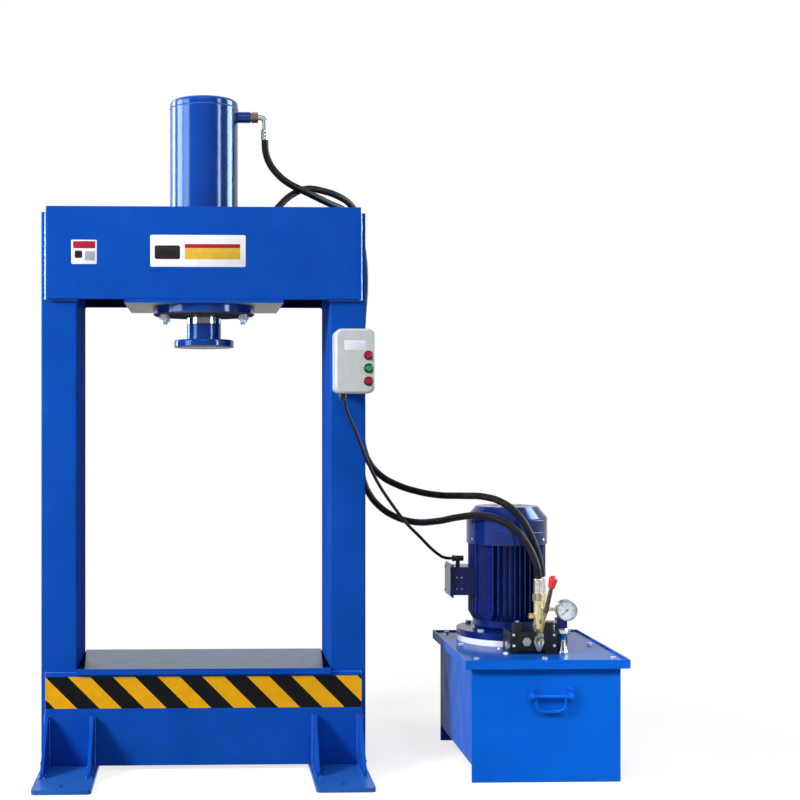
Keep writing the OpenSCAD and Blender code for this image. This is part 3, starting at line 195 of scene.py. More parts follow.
# Bright panels of cool daylight round the studio, each by its bearing from the camera's side, its height at
# the middle, width, height and brightness.
PANELS = ((-122, 2.0, 0.9, 2.6, 15), (-88, 1.9, 1.2, 2.2, 17), (-62, 1.8, 1.3, 2.0, 8),
          (0, 3.6, 2.6, 1.2, 4), (52, 2.0, 0.5, 2.6, 17), (97, 2.0, 1.2, 2.6, 19))
PANEL_AWAY, PANEL_DIP = 3.2, 0.4    # distance, and how far below its own middle each one aims
for bearing, rise, width, height, bright in PANELS:
    turned = math.radians(bearing)
    lamp("panel_%d" % bearing, (PANEL_AWAY * math.sin(turned), -PANEL_AWAY * math.cos(turned), rise),
         (0, 0, rise - PANEL_DIP), width, bright * math.pi * width * height, height)

world = bpy.data.worlds.new("studio")
scene.world = world
world.use_nodes = True
tree = world.node_tree
tree.nodes.clear()
# The backdrop is white wherever it is looked at or shines through. In polish the room is white behind the
# press and dim on the camera's side, and on dull surfaces it is only a faint fill.
ROOM_FRONT, ROOM_BEHIND, ROOM_FILL = 0.2, 1.0, 0.07
seen = node(tree, "ShaderNodeLightPath")
toward = node(tree, "ShaderNodeSeparateXYZ", {0: node(tree, "ShaderNodeTexCoord").outputs["Generated"]})
depth = node(tree, "ShaderNodeMapRange", {"Value": toward.outputs["Y"], "From Min": -0.5, "From Max": 0.4,
             "To Min": ROOM_FRONT, "To Max": ROOM_BEHIND})
polish = node(tree, "ShaderNodeMath", {0: depth.outputs[0], 1: seen.outputs["Is Glossy Ray"]},
              operation="MULTIPLY")
direct = node(tree, "ShaderNodeMath",
              {0: seen.outputs["Is Camera Ray"], 1: seen.outputs["Is Transmission Ray"]},
              operation="MAXIMUM")
either = node(tree, "ShaderNodeMath", {0: polish.outputs[0], 1: direct.outputs[0]}, operation="MAXIMUM")
filled = node(tree, "ShaderNodeMath", {0: either.outputs[0], 1: ROOM_FILL}, operation="MAXIMUM")
shine = node(tree, "ShaderNodeBackground", {"Color": (1, 1, 1, 1), "Strength": filled.outputs[0]})
node(tree, "ShaderNodeOutputWorld", {"Surface": shine.outputs[0]})

# Studio floor of matt white lacquered board: takes the shadow near the press, and away from it reads as
# plain white.
FLOOR_MIDDLE, FLOOR_HALF = (0.42, 0, 0), 30
FADE_START, FADE_END = 0.6, 1.45    # the shadow fades out between these distances from the middle
FLOOR_LIFT = 0.76                   # brightness that the board has of itself
white_board, tree, place = blank_material("matt_white_floor_board")
flat = node(tree, "ShaderNodeVectorMath", {0: place, 1: (1, 1, 0)}, operation="MULTIPLY")
away = node(tree, "ShaderNodeVectorMath", {0: flat.outputs[0], 1: FLOOR_MIDDLE}, operation="DISTANCE")
fade = node(tree, "ShaderNodeMapRange",
            {"Value": away.outputs["Value"], "From Min": FADE_START, "From Max": FADE_END})
path = node(tree, "ShaderNodeLightPath")
mirrored = node(tree, "ShaderNodeMath", {0: path.outputs["Is Camera Ray"], 1: path.outputs["Is Glossy Ray"]},
                operation="MAXIMUM")
shown = node(tree, "ShaderNodeMath", {0: mirrored.outputs[0], 1: path.outputs["Is Transmission Ray"]},
             operation="MAXIMUM")
plain = node(tree, "ShaderNodeMath", {0: fade.outputs[0], 1: shown.outputs[0]}, operation="MULTIPLY")
lift = node(tree, "ShaderNodeMath", {0: shown.outputs[0], 1: FLOOR_LIFT}, operation="MULTIPLY")
matt = node(tree, "ShaderNodeBsdfDiffuse", {"Color": srgb("#a8a8a8")})
glow = node(tree, "ShaderNodeEmission", {"Strength": lift.outputs[0]})
lit = node(tree, "ShaderNodeAddShader", {0: matt.outputs[0], 1: glow.outputs[0]})
white = node(tree, "ShaderNodeEmission", {"Strength": 1.0})
board = node(tree, "ShaderNodeMixShader", {0: plain.outputs[0], 1: lit.outputs[0], 2: white.outputs[0]})
node(tree, "ShaderNodeOutputMaterial", {"Surface": board.outputs[0]})

form = bmesh.new()
bmesh.ops.create_grid(form, x_segments=2, y_segments=2, size=FLOOR_HALF)
floor = object_of("floor", mesh_of(form, "floor"))
floor.data.materials.append(white_board)


# ---------------------------------------------------------------- finishes

# Sizes in millimetres of the patterns that do not change from one finish to the next.
PAINT_SPECK, SHEET_WAVE, METAL_STAIN, PLASTIC_WEAR, GLASS_DUST = 9, 130, 45, 30, 12


def enamel(name, colour, thin, peel_mm, peel_depth, roughness, cloud_mm=160, gloss=0.5, body=0.0,
           wave_depth=0.0):
    """Sprayed enamel on steel: two close shades in soft clouds and orange peel.

    gloss is the clear skin's reflection, body the share of light that the pigment itself throws back, and
    wave_depth the slack of thin sheet below the paint."""
    made, tree, place = blank_material(name)
    clouds = node(tree, "ShaderNodeTexNoise", {"Vector": place, "Scale": 1 / (cloud_mm * MM), "Detail": 4.0})
    specks = node(tree, "ShaderNodeTexNoise",
                  {"Vector": place, "Scale": 1 / (PAINT_SPECK * MM), "Detail": 3.0})
    share = node(tree, "ShaderNodeMapRange", {"Value": clouds.outputs[0], "From Min": 0.32, "From Max": 0.68})
    tint = node(tree, "ShaderNodeMix", {0: share.outputs[0], 6: srgb(thin), 7: srgb(colour)},
                data_type="RGBA")
    rough = node(tree, "ShaderNodeMapRange", {"Value": specks.outputs[0], "From Min": 0.3, "From Max": 0.7,
                 "To Min": roughness - 0.05, "To Max": roughness + 0.07})
    peel = node(tree, "ShaderNodeTexNoise", {"Vector": place, "Scale": 1 / (peel_mm * MM), "Detail": 2.0})
    bump = node(tree, "ShaderNodeBump",
                {"Strength": 0.5, "Distance": peel_depth * MM, "Height": peel.outputs[0]})
    if wave_depth:
        waves = node(tree, "ShaderNodeTexNoise",
                     {"Vector": place, "Scale": 1 / (SHEET_WAVE * MM), "Detail": 1.0})
        bump = node(tree, "ShaderNodeBump", {"Strength": 1.0, "Distance": wave_depth * MM,
                    "Height": waves.outputs[0], "Normal": bump.outputs[0]})
    close_material(tree, {"Base Color": tint.outputs[2], "Roughness": rough.outputs[0], "IOR": 1.5,
                          "Specular IOR Level": gloss, "Metallic": body, "Normal": bump.outputs[0]})
    return made


def metal(name, colour, dull, roughness, grain_mm, grain_depth=0.02, spread=0.08, whole=1.0):
    """Bare or plated metal: grain_mm is the size of its marks along X, Y and Z, dull the colour between them.

    spread is how far the marks part in roughness, and whole how much of the surface is clean metal."""
    made, tree, place = blank_material(name)
    scale = tuple(1 / (g * MM) for g in grain_mm)
    grain = node(tree, "ShaderNodeMapping", {"Vector": place, "Scale": scale})
    marks = node(tree, "ShaderNodeTexNoise", {"Vector": grain.outputs[0], "Scale": 1.0, "Detail": 5.0})
    stain = node(tree, "ShaderNodeTexNoise",
                 {"Vector": place, "Scale": 1 / (METAL_STAIN * MM), "Detail": 3.0})
    blend = node(tree, "ShaderNodeMath", {0: marks.outputs[0], 1: stain.outputs[0]}, operation="ADD")
    share = node(tree, "ShaderNodeMapRange", {"Value": blend.outputs[0], "From Min": 0.75, "From Max": 1.25})
    tint = node(tree, "ShaderNodeMix", {0: share.outputs[0], 6: srgb(dull), 7: srgb(colour)},
                data_type="RGBA")
    rough = node(tree, "ShaderNodeMapRange", {"Value": marks.outputs[0], "From Min": 0.3, "From Max": 0.7,
                 "To Min": roughness + spread, "To Max": max(0.03, roughness - spread)})
    bump = node(tree, "ShaderNodeBump",
                {"Strength": 0.6, "Distance": grain_depth * MM, "Height": marks.outputs[0]})
    close_material(tree, {"Base Color": tint.outputs[2], "Metallic": whole, "Roughness": rough.outputs[0],
                          "Normal": bump.outputs[0]})
    return made


def moulded(name, colour, shade, roughness, grain_mm, grain_depth, coat=0.0, gloss=0.3):
    """Moulded plastic, rubber or film: a fine even grain, and a second shade where it is worn or dusty."""
    made, tree, place = blank_material(name)
    wear = node(tree, "ShaderNodeTexNoise",
                {"Vector": place, "Scale": 1 / (PLASTIC_WEAR * MM), "Detail": 4.0})
    share = node(tree, "ShaderNodeMapRange", {"Value": wear.outputs[0], "From Min": 0.35, "From Max": 0.65})
    tint = node(tree, "ShaderNodeMix", {0: share.outputs[0], 6: srgb(shade), 7: srgb(colour)},
                data_type="RGBA")
    rough = node(tree, "ShaderNodeMapRange", {"Value": wear.outputs[0], "From Min": 0.3, "From Max": 0.7,
                 "To Min": roughness + 0.06, "To Max": roughness - 0.04})
    grain = node(tree, "ShaderNodeTexNoise", {"Vector": place, "Scale": 1 / (grain_mm * MM), "Detail": 2.0})
    bump = node(tree, "ShaderNodeBump",
                {"Strength": 0.5, "Distance": grain_depth * MM, "Height": grain.outputs[0]})
    close_material(tree, {"Base Color": tint.outputs[2], "Roughness": rough.outputs[0], "IOR": 1.48,
                          "Specular IOR Level": gloss, "Coat Weight": coat, "Coat Roughness": 0.1,
                          "Normal": bump.outputs[0]})
    return made


# Orange peel, casting and mould grain, and the marks of grinding and turning are too fine to show from here,
# so they are drawn as coarse as they need to show.
finish_of = {
    # Blue alkyd enamel sprayed on hot-rolled plate: an even satin, soft cloudy shade, wide orange peel.
    "frame_blue_paint": enamel("blue_enamel_sprayed_on_plate", "#1553bb", "#104bae",
                               9, 0.05, 0.3, gloss=0.0, body=0.03),
    # The same enamel flowed on turned steel: smooth and wet, with long lights down the round.
    "cylinder_blue": enamel("blue_enamel_on_turned_steel", "#0c45a6", "#093d9a",
                            14, 0.03, 0.12, gloss=0.42, body=0.03),
    # The same enamel over weld drops, a lighter blue that paints in the highlight along the welds, and wet,
    # so that each drop also holds a small real light.
    "weld_blue_painted_light": enamel("lightened_blue_enamel_over_weld", "#2c62c4", "#2155b6", 14, 0.03, 0.12, gloss=0.5, body=0.06),
    # Near-white pale blue on the beam's end welds, a painted glint, under a high gloss with some metal shine
    # of its own.
    "beam_weld_painted_glint": enamel("pale_blue_painted_glint_weld", "#c5d8f6", "#94b2e6",
                        14, 0.03, 0.2, gloss=0.6, body=0.4),
    # The same enamel on the feet, a lighter blue that paints in the light falling on their tops, with a low
    # sheen.
    "foot_blue_painted_light": enamel("lightened_blue_enamel_on_feet", "#2a68bf", "#205bb2",
                        9, 0.05, 0.34, gloss=0.1, body=0.1),
    # Near black and dull: a painted shade, laid on the table between the columns and inside the beam.
    "painted_shade_navy": enamel("near_black_painted_shade_on_plate", "#0a1634", "#070e22", 6, 0.05, 0.5, 60, gloss=0.0),
    # The same enamel, newer and brighter, on smooth folded sheet: flat, with the sheet's slow waves in it.
    "unit_blue_paint": enamel("bright_blue_enamel_on_sheet", "#0d66da", "#0c60d0",
                              16, 0.05, 0.18, gloss=0.003, body=0.02, wave_depth=6),
    # The same on the lid, painted deeper, a painted dark reflection of the motor and valve that stand on it,
    # with a faint real mirror of them too.
    "lid_blue_painted_reflection": enamel("deepened_blue_enamel_on_lid", "#0b55ba", "#0a4fae",
                       16, 0.03, 0.14, gloss=0.03, body=0.03),
    # Navy machine enamel on pressed sheet: smooth, a shade darker than on the casting, partly a painted shade
    # for the box's side.
    "terminal_navy_painted_shade": enamel("darkened_navy_enamel_on_pressed_sheet", "#0b1a55", "#091546",
                            8, 0.03, 0.24, 60, gloss=0.2),
    # Navy machine enamel on the spun fan cover: wet and even, with lights along its beads.
    "hood_navy": enamel("navy_enamel_on_spun_sheet", "#123083", "#0e276c",
                        8, 0.02, 0.13, 60, gloss=0.28, body=0.05),
    # Navy machine enamel on a sand casting: the casting's grain shows through the gloss.
    "motor_navy_paint": enamel("navy_enamel_on_casting", "#10297a", "#0c2062",
                               4, 0.05, 0.22, 60, gloss=0.2, body=0.05),
    # Surface-ground mild steel: long streaks along the wheel's travel, blue-grey and half dull.
    "ground_steel": metal("ground_mild_steel", "#445a7e", "#384b6c", 0.36, (70, 1.6, 1.6), 0.015),
    # Hot-rolled plate left bare: brown-grey mill scale, dull and patchy.
    "bare_steel": metal("mill_scaled_plate", "#7d7572", "#5c5553", 0.5, (6, 6, 6), 0.06, 0.1, 0.7),
    # Turned steel under a grey phosphate coat: a deep neutral grey without shine.
    "dark_steel": enamel("phosphated_turned_steel", "#5d6067", "#50535a", 6, 0.05, 0.5, 60, gloss=0.0),
    # Bright zinc plate on turned steel: pale, bluish, slightly milky.
    "zinc_steel": metal("zinc_plated_steel", "#c3c6ca", "#a2a5ab", 0.3, (2.5, 2.5, 2.5), 0.01),
    # Zinc plate, half of it pale matt white, a painted highlight, so that it takes the lamps from any side.
    "zinc_painted_highlight": metal("half_white_zinc_painted_highlight", "#eef0f3", "#d2d5da",
                       0.3, (2.5, 2.5, 2.5), 0.01, whole=0.5),
    # Hard chrome, ground and polished: a clear mirror with hair-fine marks round the rod.
    "chrome": metal("hard_chrome", "#d6d8da", "#c4c6c9", 0.1, (30, 30, 0.8), 0.002, 0.04),
    # Turned brass, lightly tarnished: warm yellow with a browner bloom.
    "brass": metal("turned_brass", "#f0e2b2", "#d2bd82", 0.24, (4, 4, 0.8), 0.008, whole=0.8),
    # Grey iron casting, machined and painted satin black.
    "black_cast_iron": moulded("black_painted_cast_iron", "#1a1b1e", "#101113", 0.4, 1.5, 0.08),
    # Bare rolled rod, handled and brown with oil.
    "lever_steel": metal("oiled_rod_steel", "#a8936a", "#82704f", 0.34, (8, 8, 3), 0.01),
    # Heat-shrunk sleeve on the lever: dull olive black, polished by hands.
    "lever_sleeve": moulded("olive_shrink_sleeve", "#4b463b", "#3a362e", 0.4, 2, 0.02),
    # Vinyl film, printed and laid flat: even colour, slight sheen.
    "tape_yellow": moulded("yellow_vinyl_film", "#f2b318", "#eaa912", 0.36, 5, 0.02, gloss=0.1),
    "tape_black": moulded("black_vinyl_film", "#0c0e11", "#101316", 0.38, 5, 0.02, gloss=0.1),
    # ABS, moulded with a light spark grain: cool pale grey.
    "box_plastic": moulded("light_grey_abs", "#cdd1d3", "#c6cacc", 0.42, 0.9, 0.02),
    # Nylon rings round the buttons: dark, each a deep tint of its button, a painted shade round the cap.
    "bezel_black": moulded("black_nylon_ring", "#16171a", "#202124", 0.35, 1.2, 0.02),
    "red_painted_shade_ring": moulded("dark_red_painted_shade_nylon", "#6b0a1c", "#580817", 0.3, 1.2, 0.02),
    "green_painted_shade_ring": moulded("dark_green_painted_shade_nylon", "#0c3b24", "#0a3320", 0.3, 1.2, 0.02),
    # Polycarbonate push caps, moulded smooth: clear strong colour under a wet gloss.
    "button_red": moulded("red_polycarbonate", "#c4142f", "#a90f27", 0.22, 2, 0.008, 0.4),
    "button_green": moulded("green_polycarbonate", "#27a060", "#1d8a50", 0.22, 2, 0.008, 0.4),
    # Phenolic knob, polished in the mould.
    "knob_red": moulded("red_phenolic", "#d92020", "#c51818", 0.18, 3, 0.006, 0.5),
    # Glass-filled nylon fan, dull black.
    "fan_plastic": moulded("glass_filled_nylon", "#1e2126", "#2a2d33", 0.5, 1, 0.04),
    # Nylon cable glands, moulded dull black.
    "black_nylon": moulded("black_moulded_nylon", "#141518", "#1d1e21", 0.42, 1, 0.02),
    # Aluminium plate under white stoving enamel: flat, clean and slightly glossy.
    "white_plate": moulded("white_stoved_enamel_plate", "#f8f9fd", "#eff1f6", 0.3, 6, 0.01),
    # Screen-printed enamel fields on the plates: even colour, a faint edge of their own.
    "red_field": moulded("red_printed_enamel", "#b4163a", "#a21233", 0.35, 4, 0.01),
    "yellow_field": moulded("yellow_printed_enamel", "#e6b93a", "#dcae30", 0.35, 4, 0.01),
    "grey_field": moulded("grey_printed_enamel", "#a9adb6", "#a0a4ae", 0.35, 4, 0.01),
    "dark_field": moulded("black_printed_enamel", "#2a1a1c", "#221517", 0.35, 4, 0.01),
    # Gauge dial, screen-printed tin: flat white, with grey ink for its marks.
    "dial_white": moulded("white_printed_tin", "#eff0f2", "#e6e8eb", 0.4, 3, 0.005),
    "dial_ink": moulded("grey_printing_ink", "#8a8e97", "#969aa3", 0.4, 3, 0.005),
    # Paper-faced film on the control box: faintly blue, dull.
    "box_label": moulded("pale_film_label", "#eef3fc", "#e4eaf6", 0.5, 4, 0.01),
    # Copper-tinted zinc on a turned nut, warmed by the brazing beside it.
    "warm_nut": metal("copper_tinted_zinc", "#a3826f", "#836556", 0.32, (3, 3, 3), 0.01, whole=0.8),
    # Bright nickel on tube and swaged sleeve: pale, slightly yellow.
    "nickel": metal("bright_nickel_plate", "#dcd8d0", "#b8b3a9", 0.2, (6, 6, 2), 0.006, whole=0.8),
    # Synthetic rubber hose cover, wrapped while it cured: black, with a faint cloth grain.
    "hose_rubber": moulded("wrapped_black_rubber", "#18171a", "#212023", 0.42, 1.4, 0.06, gloss=0.12),
}
# Gauge glass, ground flat and polished: clear, with a sharp reflection and a faint bloom of dust.
gauge_glass, tree, place = blank_material("polished_gauge_glass")
dust = node(tree, "ShaderNodeTexNoise", {"Vector": place, "Scale": 1 / (GLASS_DUST * MM), "Detail": 3.0})
bloom = node(tree, "ShaderNodeMapRange", {"Value": dust.outputs[0], "To Min": 0.02, "To Max": 0.09})
close_material(tree, {"Base Color": (1, 1, 1, 1), "Roughness": bloom.outputs[0], "IOR": 1.45,
                      "Transmission Weight": 1.0})
finish_of["gauge_glass"] = gauge_glass

slot_of = {row["node"]: row["material_slot"] for row in frame["record"]["subparts"]}
coat_of = slot_of | {
    "cylinder_barrel": "cylinder_blue", "cylinder_cap": "cylinder_blue", "cylinder_flange": "cylinder_blue",
    "ram_pad": "cylinder_blue", "rod_guide": "dark_steel", "port_fittings": "warm_nut",
    "lid_bolts": "zinc_painted_highlight", "motor_bolts": "zinc_painted_highlight", "flange_bolts": "zinc_painted_highlight",
    "terminal_box": "terminal_navy_painted_shade", "terminal_box_cover": "terminal_navy_painted_shade", "motor_fan_cover": "hood_navy",
    "gauge_needle": "dial_ink", "foot_plate_left": "foot_blue_painted_light", "foot_plate_right": "foot_blue_painted_light"}
for name, solid in solids.items():
    solid.data.materials.clear()
    solid.data.materials.append(finish_of[coat_of[name]])


def attach(piece, body, slot, *replaced):
    """Hands a finished piece over: the body that it rides on and the solids that it stands for. slot is not
    used.
    """
    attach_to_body(piece, body)
    if replaced:
        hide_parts(*replaced)
    return piece


# ---------------------------------------------------------------- hoses and motor cable

UPPER_HOSE = [
    (175, 0, 1767), (175, 0, 1757), (177, 0, 1735), (186, 2, 1707), (207, 6, 1677), (240, 15, 1650),
    (285, 32, 1630), (330, 62, 1614), (375, 100, 1600), (415, 137, 1589), (449, 163, 1561), (469, 177, 1517),
    (479, 184, 1465), (484, 187, 1410), (484, 188, 1350), (480, 188, 1290), (476, 188, 1230),
    (473, 187, 1170),
    (471, 186, 1110), (470, 185, 1050), (470, 183, 990), (473, 181, 930), (480, 177, 880), (497, 170, 835),
    (530, 158, 797), (575, 138, 771), (630, 103, 753), (690, 58, 744), (750, 6, 745), (800, -46, 745),
    (845, -90, 730), (882, -119, 697), (912, -134, 645), (931, -139, 592), (939, -140, 558), (941, -140, 538),
    (941, -140, 527)]
LOWER_HOSE = [
    (175, 0, 1441), (175, 0, 1451), (176, 0, 1478), (182, 2, 1515), (196, 8, 1552), (220, 20, 1585),
    (255, 40, 1618), (300, 68, 1640), (350, 92, 1638), (400, 120, 1626), (440, 156, 1605),
    (468, 194, 1565), (478, 211, 1505),
    (477, 213, 1445), (474, 216, 1385), (470, 217, 1325), (467, 218, 1265), (465, 218, 1205),
    (464, 218, 1145), (464, 218, 1085), (464, 217, 1025), (465, 216, 965), (467, 214, 905), (471, 210, 845),
    (480, 203, 790), (498, 192, 742), (530, 176, 702), (572, 150, 675), (622, 112, 662), (680, 55, 668),
    (733, -5, 684), (782, -65, 693), (825, -120, 686), (862, -150, 662), (893, -169, 622), (911, -181, 582),
    (919, -185, 555), (921, -185, 538), (921, -185, 527)]
MOTOR_CABLE = [
    (388, -182.5, 1017), (388, -182.5, 1009), (391, -183, 993), (402, -185, 966), (416, -186, 934),
    (431, -184, 895), (449, -176, 853), (469, -162, 813), (490, -145, 778), (513, -124, 746), (541, -98, 710),
    (573, -70, 672), (613, -38, 634), (656, 0, 593), (682.5, 21.6, 572.5), (692.2, 27.7, 566.8),
    (703.9, 31.6, 563.2), (715, 33, 562), (722, 33, 562)]
HOSE_ACROSS, CABLE_ACROSS = 20, 9


def laid_cord(name, replaced, route, diameter):
    """One round cord along a route in millimetres."""
    points = [Vector(p) * MM for p in route]
    curve = bpy.data.curves.new(name, "CURVE")
    curve.dimensions = "3D"
    curve.bevel_depth = diameter / 2 * MM
    curve.bevel_resolution = 5
    curve.resolution_u = 8
    curve.use_fill_caps = True
    line = curve.splines.new("BEZIER")
    line.bezier_points.add(len(points) - 1)
    for knot, point in zip(line.bezier_points, points):
        knot.co = point
        knot.handle_left_type = knot.handle_right_type = "AUTO"
    piece = object_of(name, curve)
    curve.materials.append(finish_of["hose_rubber"])
    attach(piece, "frame", "hose_rubber", replaced)


laid_cord("upper_pressure_hose", "hose_upper", UPPER_HOSE, HOSE_ACROSS)
laid_cord("lower_pressure_hose", "hose_lower", LOWER_HOSE, HOSE_ACROSS)
laid_cord("motor_supply_cable", "motor_cable", MOTOR_CABLE, CABLE_ACROSS)


# ---------------------------------------------------------------- solids with broken edges

def eased(name, width, more_finishes=(), choose=None, cuts=(), rim=-1):
    """A copy of a solid, its sharp edges broken by a round of some width, as tools and handling leave them.

    choose(middle, normal) gives each face its finish: 0 is the solid's own, 1 the first of more_finishes.
    cuts are planes (a point in millimetres, the way across) that part a face between two finishes. rim is the
    finish of the rounds themselves, -1 for that of the faces beside them."""
    form = bmesh.new()
    form.from_mesh(solids[name].data)
    bmesh.ops.remove_doubles(form, verts=form.verts, dist=SAME_POINT)
    bmesh.ops.dissolve_limit(form, angle_limit=math.radians(0.5), verts=form.verts, edges=form.edges)
    for point, across in cuts:
        bmesh.ops.bisect_plane(form, geom=form.verts[:] + form.edges[:] + form.faces[:],
                               plane_co=Vector(point) * MM, plane_no=across)
    if choose:
        for face in form.faces:
            face.material_index = choose(face.calc_center_median() / MM, face.normal)
    piece = object_of(name + "_eased", mesh_of(form, name + "_eased"))
    for left_over in ("custom_normal", "sharp_face"):
        if left_over in piece.data.attributes:
            piece.data.attributes.remove(piece.data.attributes[left_over])
    for finish in (coat_of[name], *more_finishes):
        piece.data.materials.append(finish_of[finish])
    round_off = piece.modifiers.new("round", "BEVEL")
    round_off.width = width * MM
    round_off.segments = 2
    round_off.limit_method = "ANGLE"
    round_off.angle_limit = math.radians(30)
    round_off.harden_normals = True
    round_off.material = rim
    return attach(settle(piece), solids[name]["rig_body"], slot_of[name], name)


# Width in millimetres of the broken edge on each solid.
EDGE = {
    "column_left": 1, "column_right": 1, "beam_front_plate": 2, "base_front_plate": 2, "base_back_plate": 2,
    "base_ribs": 1, "foot_plate_left": 2.5, "foot_plate_right": 2.5, "foot_gussets": 2, "flange_bolts": 0.8,
    "control_box": 2, "control_box_cover": 3, "tank_shell": 2, "handle_eyes": 1, "lid_bolts": 0.8,
    "motor_flange": 2, "motor_housing": 0.8, "motor_fan_cover": 1, "motor_bolts": 0.8, "terminal_box": 2,
    "terminal_box_cover": 2, "valve_body": 1.5, "valve_trim": 0.6, "relief_valve": 1.5, "pressure_gauge": 0.5,
    "filler_cap": 0.8}
for name, width in EDGE.items():
    eased(name, width)

# The table is ground between its painted margins, which narrow to the back. Between the columns the margins
# are near black, a painted shade from the columns, as is the inside of the beam.
COLUMN_FRONT, GROUND_HALF, GROUND_TAPER = 158, 339, 0.065


def table_coat(middle, normal):
    """The table's finish at a face: 0 ground steel, 1 paint, 2 painted shade."""
    if normal.z < 0.9:
        return 1
    if abs(middle.x) < GROUND_HALF + GROUND_TAPER * middle.y:
        return 0
    return 2 if abs(middle.y) < COLUMN_FRONT else 1


eased("table_plate", 1.5, ("frame_blue_paint", "painted_shade_navy"), table_coat,
      [((side * GROUND_HALF, 0, 0), Vector((side, -GROUND_TAPER, 0))) for side in (-1, 1)]
      + [((0, side * COLUMN_FRONT, 0), Y) for side in (-1, 1)])
# The beam's inside faces are near black, a painted shade under the beam.
eased("beam_back_plate", 2, ("painted_shade_navy",), lambda middle, normal: int(normal.y < -0.5))
eased("beam_ribs", 1, ("painted_shade_navy",), lambda middle, normal: 1)
# The seat plate and the pad are bare below. The flange and the barrel's mouth are a deep grey there.
eased("cylinder_seat_plate", 1.5, ("frame_blue_paint",), lambda middle, normal: int(normal.z > -0.5))
for name, below in (("cylinder_flange", "dark_steel"), ("ram_pad", "bare_steel")):
    eased(name, 2.5, (below,), lambda middle, normal: int(normal.z < -0.5))

BARREL_LOW = solid_box("cylinder_barrel")[0].z
eased("cylinder_barrel", 1.5, ("dark_steel",),
      lambda middle, normal: int(normal.z < -0.5 and middle.z < BARREL_LOW + 1))

# The cap's top gathers dust and has no gloss left.
eased("cylinder_cap", 4, ("frame_blue_paint",), lambda middle, normal: int(normal.z > 0.9))

# The buttons' rings, and the rounded rims of the buttons themselves, take a dark tint of each button, a
# painted shade round the caps. The motor's seat ring is white round its edge.
BUTTON_LEVEL, BUTTON_STEP = 1105, 35
eased("button_bezels", 1, ("red_painted_shade_ring", "green_painted_shade_ring"),
      lambda middle, normal: 2 if abs(middle.z - BUTTON_LEVEL) < BUTTON_STEP / 2 else 1)
for name, ring in (("button_top", "red_painted_shade_ring"), ("button_middle", "green_painted_shade_ring"),
                   ("button_bottom", "red_painted_shade_ring")):
    eased(name, 2.2, (ring,), rim=1)
eased("motor_seat_ring", 1, ("white_plate",), lambda middle, normal: int(abs(normal.z) < 0.5))

# The tank's lid is painted deeper on top, a painted reflection of what stands on it.
eased("tank_lid", 1.2, ("lid_blue_painted_reflection",), lambda middle, normal: int(normal.z > 0.9))

# The lever's rod is bare, with a sleeve over its upper half.
SLEEVE_LENGTH = 68
SLEEVE_LOW = solid_box("valve_lever")[1].z - SLEEVE_LENGTH
eased("valve_lever", 0.6, ("lever_sleeve",), lambda middle, normal: int(middle.z > SLEEVE_LOW),
      [(Z * SLEEVE_LOW, Z)])

# The hose ends: zinc-plated ferrules and nuts above, brass bodies below. At the cylinder the nut is
# copper-tinted and the elbow behind it nickel.
FERRULE_LOW, PORT_NUT_LENGTH = 485, 22
eased("hose_fittings", 0.5, ("zinc_steel",), lambda middle, normal: int(middle.z > FERRULE_LOW),
      [(Z * FERRULE_LOW, Z)])
PORT_NUT_END = solid_box("port_fittings")[0].x + PORT_NUT_LENGTH
eased("port_fittings", 0.5, ("nickel",), lambda middle, normal: int(middle.x > PORT_NUT_END),
      [(X * PORT_NUT_END, X)])


# ---------------------------------------------------------------- welds and screws, by Geometry Nodes

def set_of_nodes(name, sockets):
    """A new Geometry Nodes tree with its named inputs, and the nodes at its two ends."""
    tree = bpy.data.node_groups.new(name, "GeometryNodeTree")
    tree.interface.new_socket("Geometry", in_out="INPUT", socket_type="NodeSocketGeometry")
    for socket, kind in sockets:
        tree.interface.new_socket(socket, in_out="INPUT", socket_type=kind)
    tree.interface.new_socket("Geometry", in_out="OUTPUT", socket_type="NodeSocketGeometry")
    return tree, node(tree, "NodeGroupInput")


def close_nodes(tree, shapes, finish):
    """The end of a tree: copies made real, shaded smooth and given their finish."""
    real = node(tree, "GeometryNodeRealizeInstances", {0: shapes})
    smooth = node(tree, "GeometryNodeSetShadeSmooth", {0: real.outputs[0]})
    painted = node(tree, "GeometryNodeSetMaterial", {"Geometry": smooth.outputs[0], "Material": finish})
    node(tree, "NodeGroupOutput", {0: painted.outputs[0]})


def run_nodes(piece, tree, values):
    """Runs a tree on a piece with its inputs set by name, and leaves a plain mesh."""
    modifier = piece.modifiers.new(tree.name, "NODES")
    modifier.node_group = tree
    for item in tree.interface.items_tree:
        if item.in_out == "INPUT" and item.name in values:
            modifier[item.identifier] = values[item.name]
    return settle(piece)


# A weld run: drops of metal one beside the other along a line, each a little different in size.
weld_run, given = set_of_nodes("weld_run", (("Pitch", "NodeSocketFloat"), ("Drop", "NodeSocketFloat"),
                                            ("Finish", "NodeSocketMaterial")))
seam = node(weld_run, "GeometryNodeMeshToCurve", {"Mesh": given.outputs["Geometry"]})
steps = node(weld_run, "GeometryNodeResampleCurve",
             {"Curve": seam.outputs[0], "Length": given.outputs["Pitch"]}, mode="LENGTH")
drop = node(weld_run, "GeometryNodeMeshUVSphere",
            {"Segments": 8, "Rings": 5, "Radius": given.outputs["Drop"]})
size = node(weld_run, "FunctionNodeRandomValue", {2: 0.85, 3: 1.15, "Seed": 7}, data_type="FLOAT")
drops = node(weld_run, "GeometryNodeInstanceOnPoints",
             {"Points": steps.outputs[0], "Instance": drop.outputs[0], "Scale": size.outputs[1]})
close_nodes(weld_run, drops.outputs[0], given.outputs["Finish"])

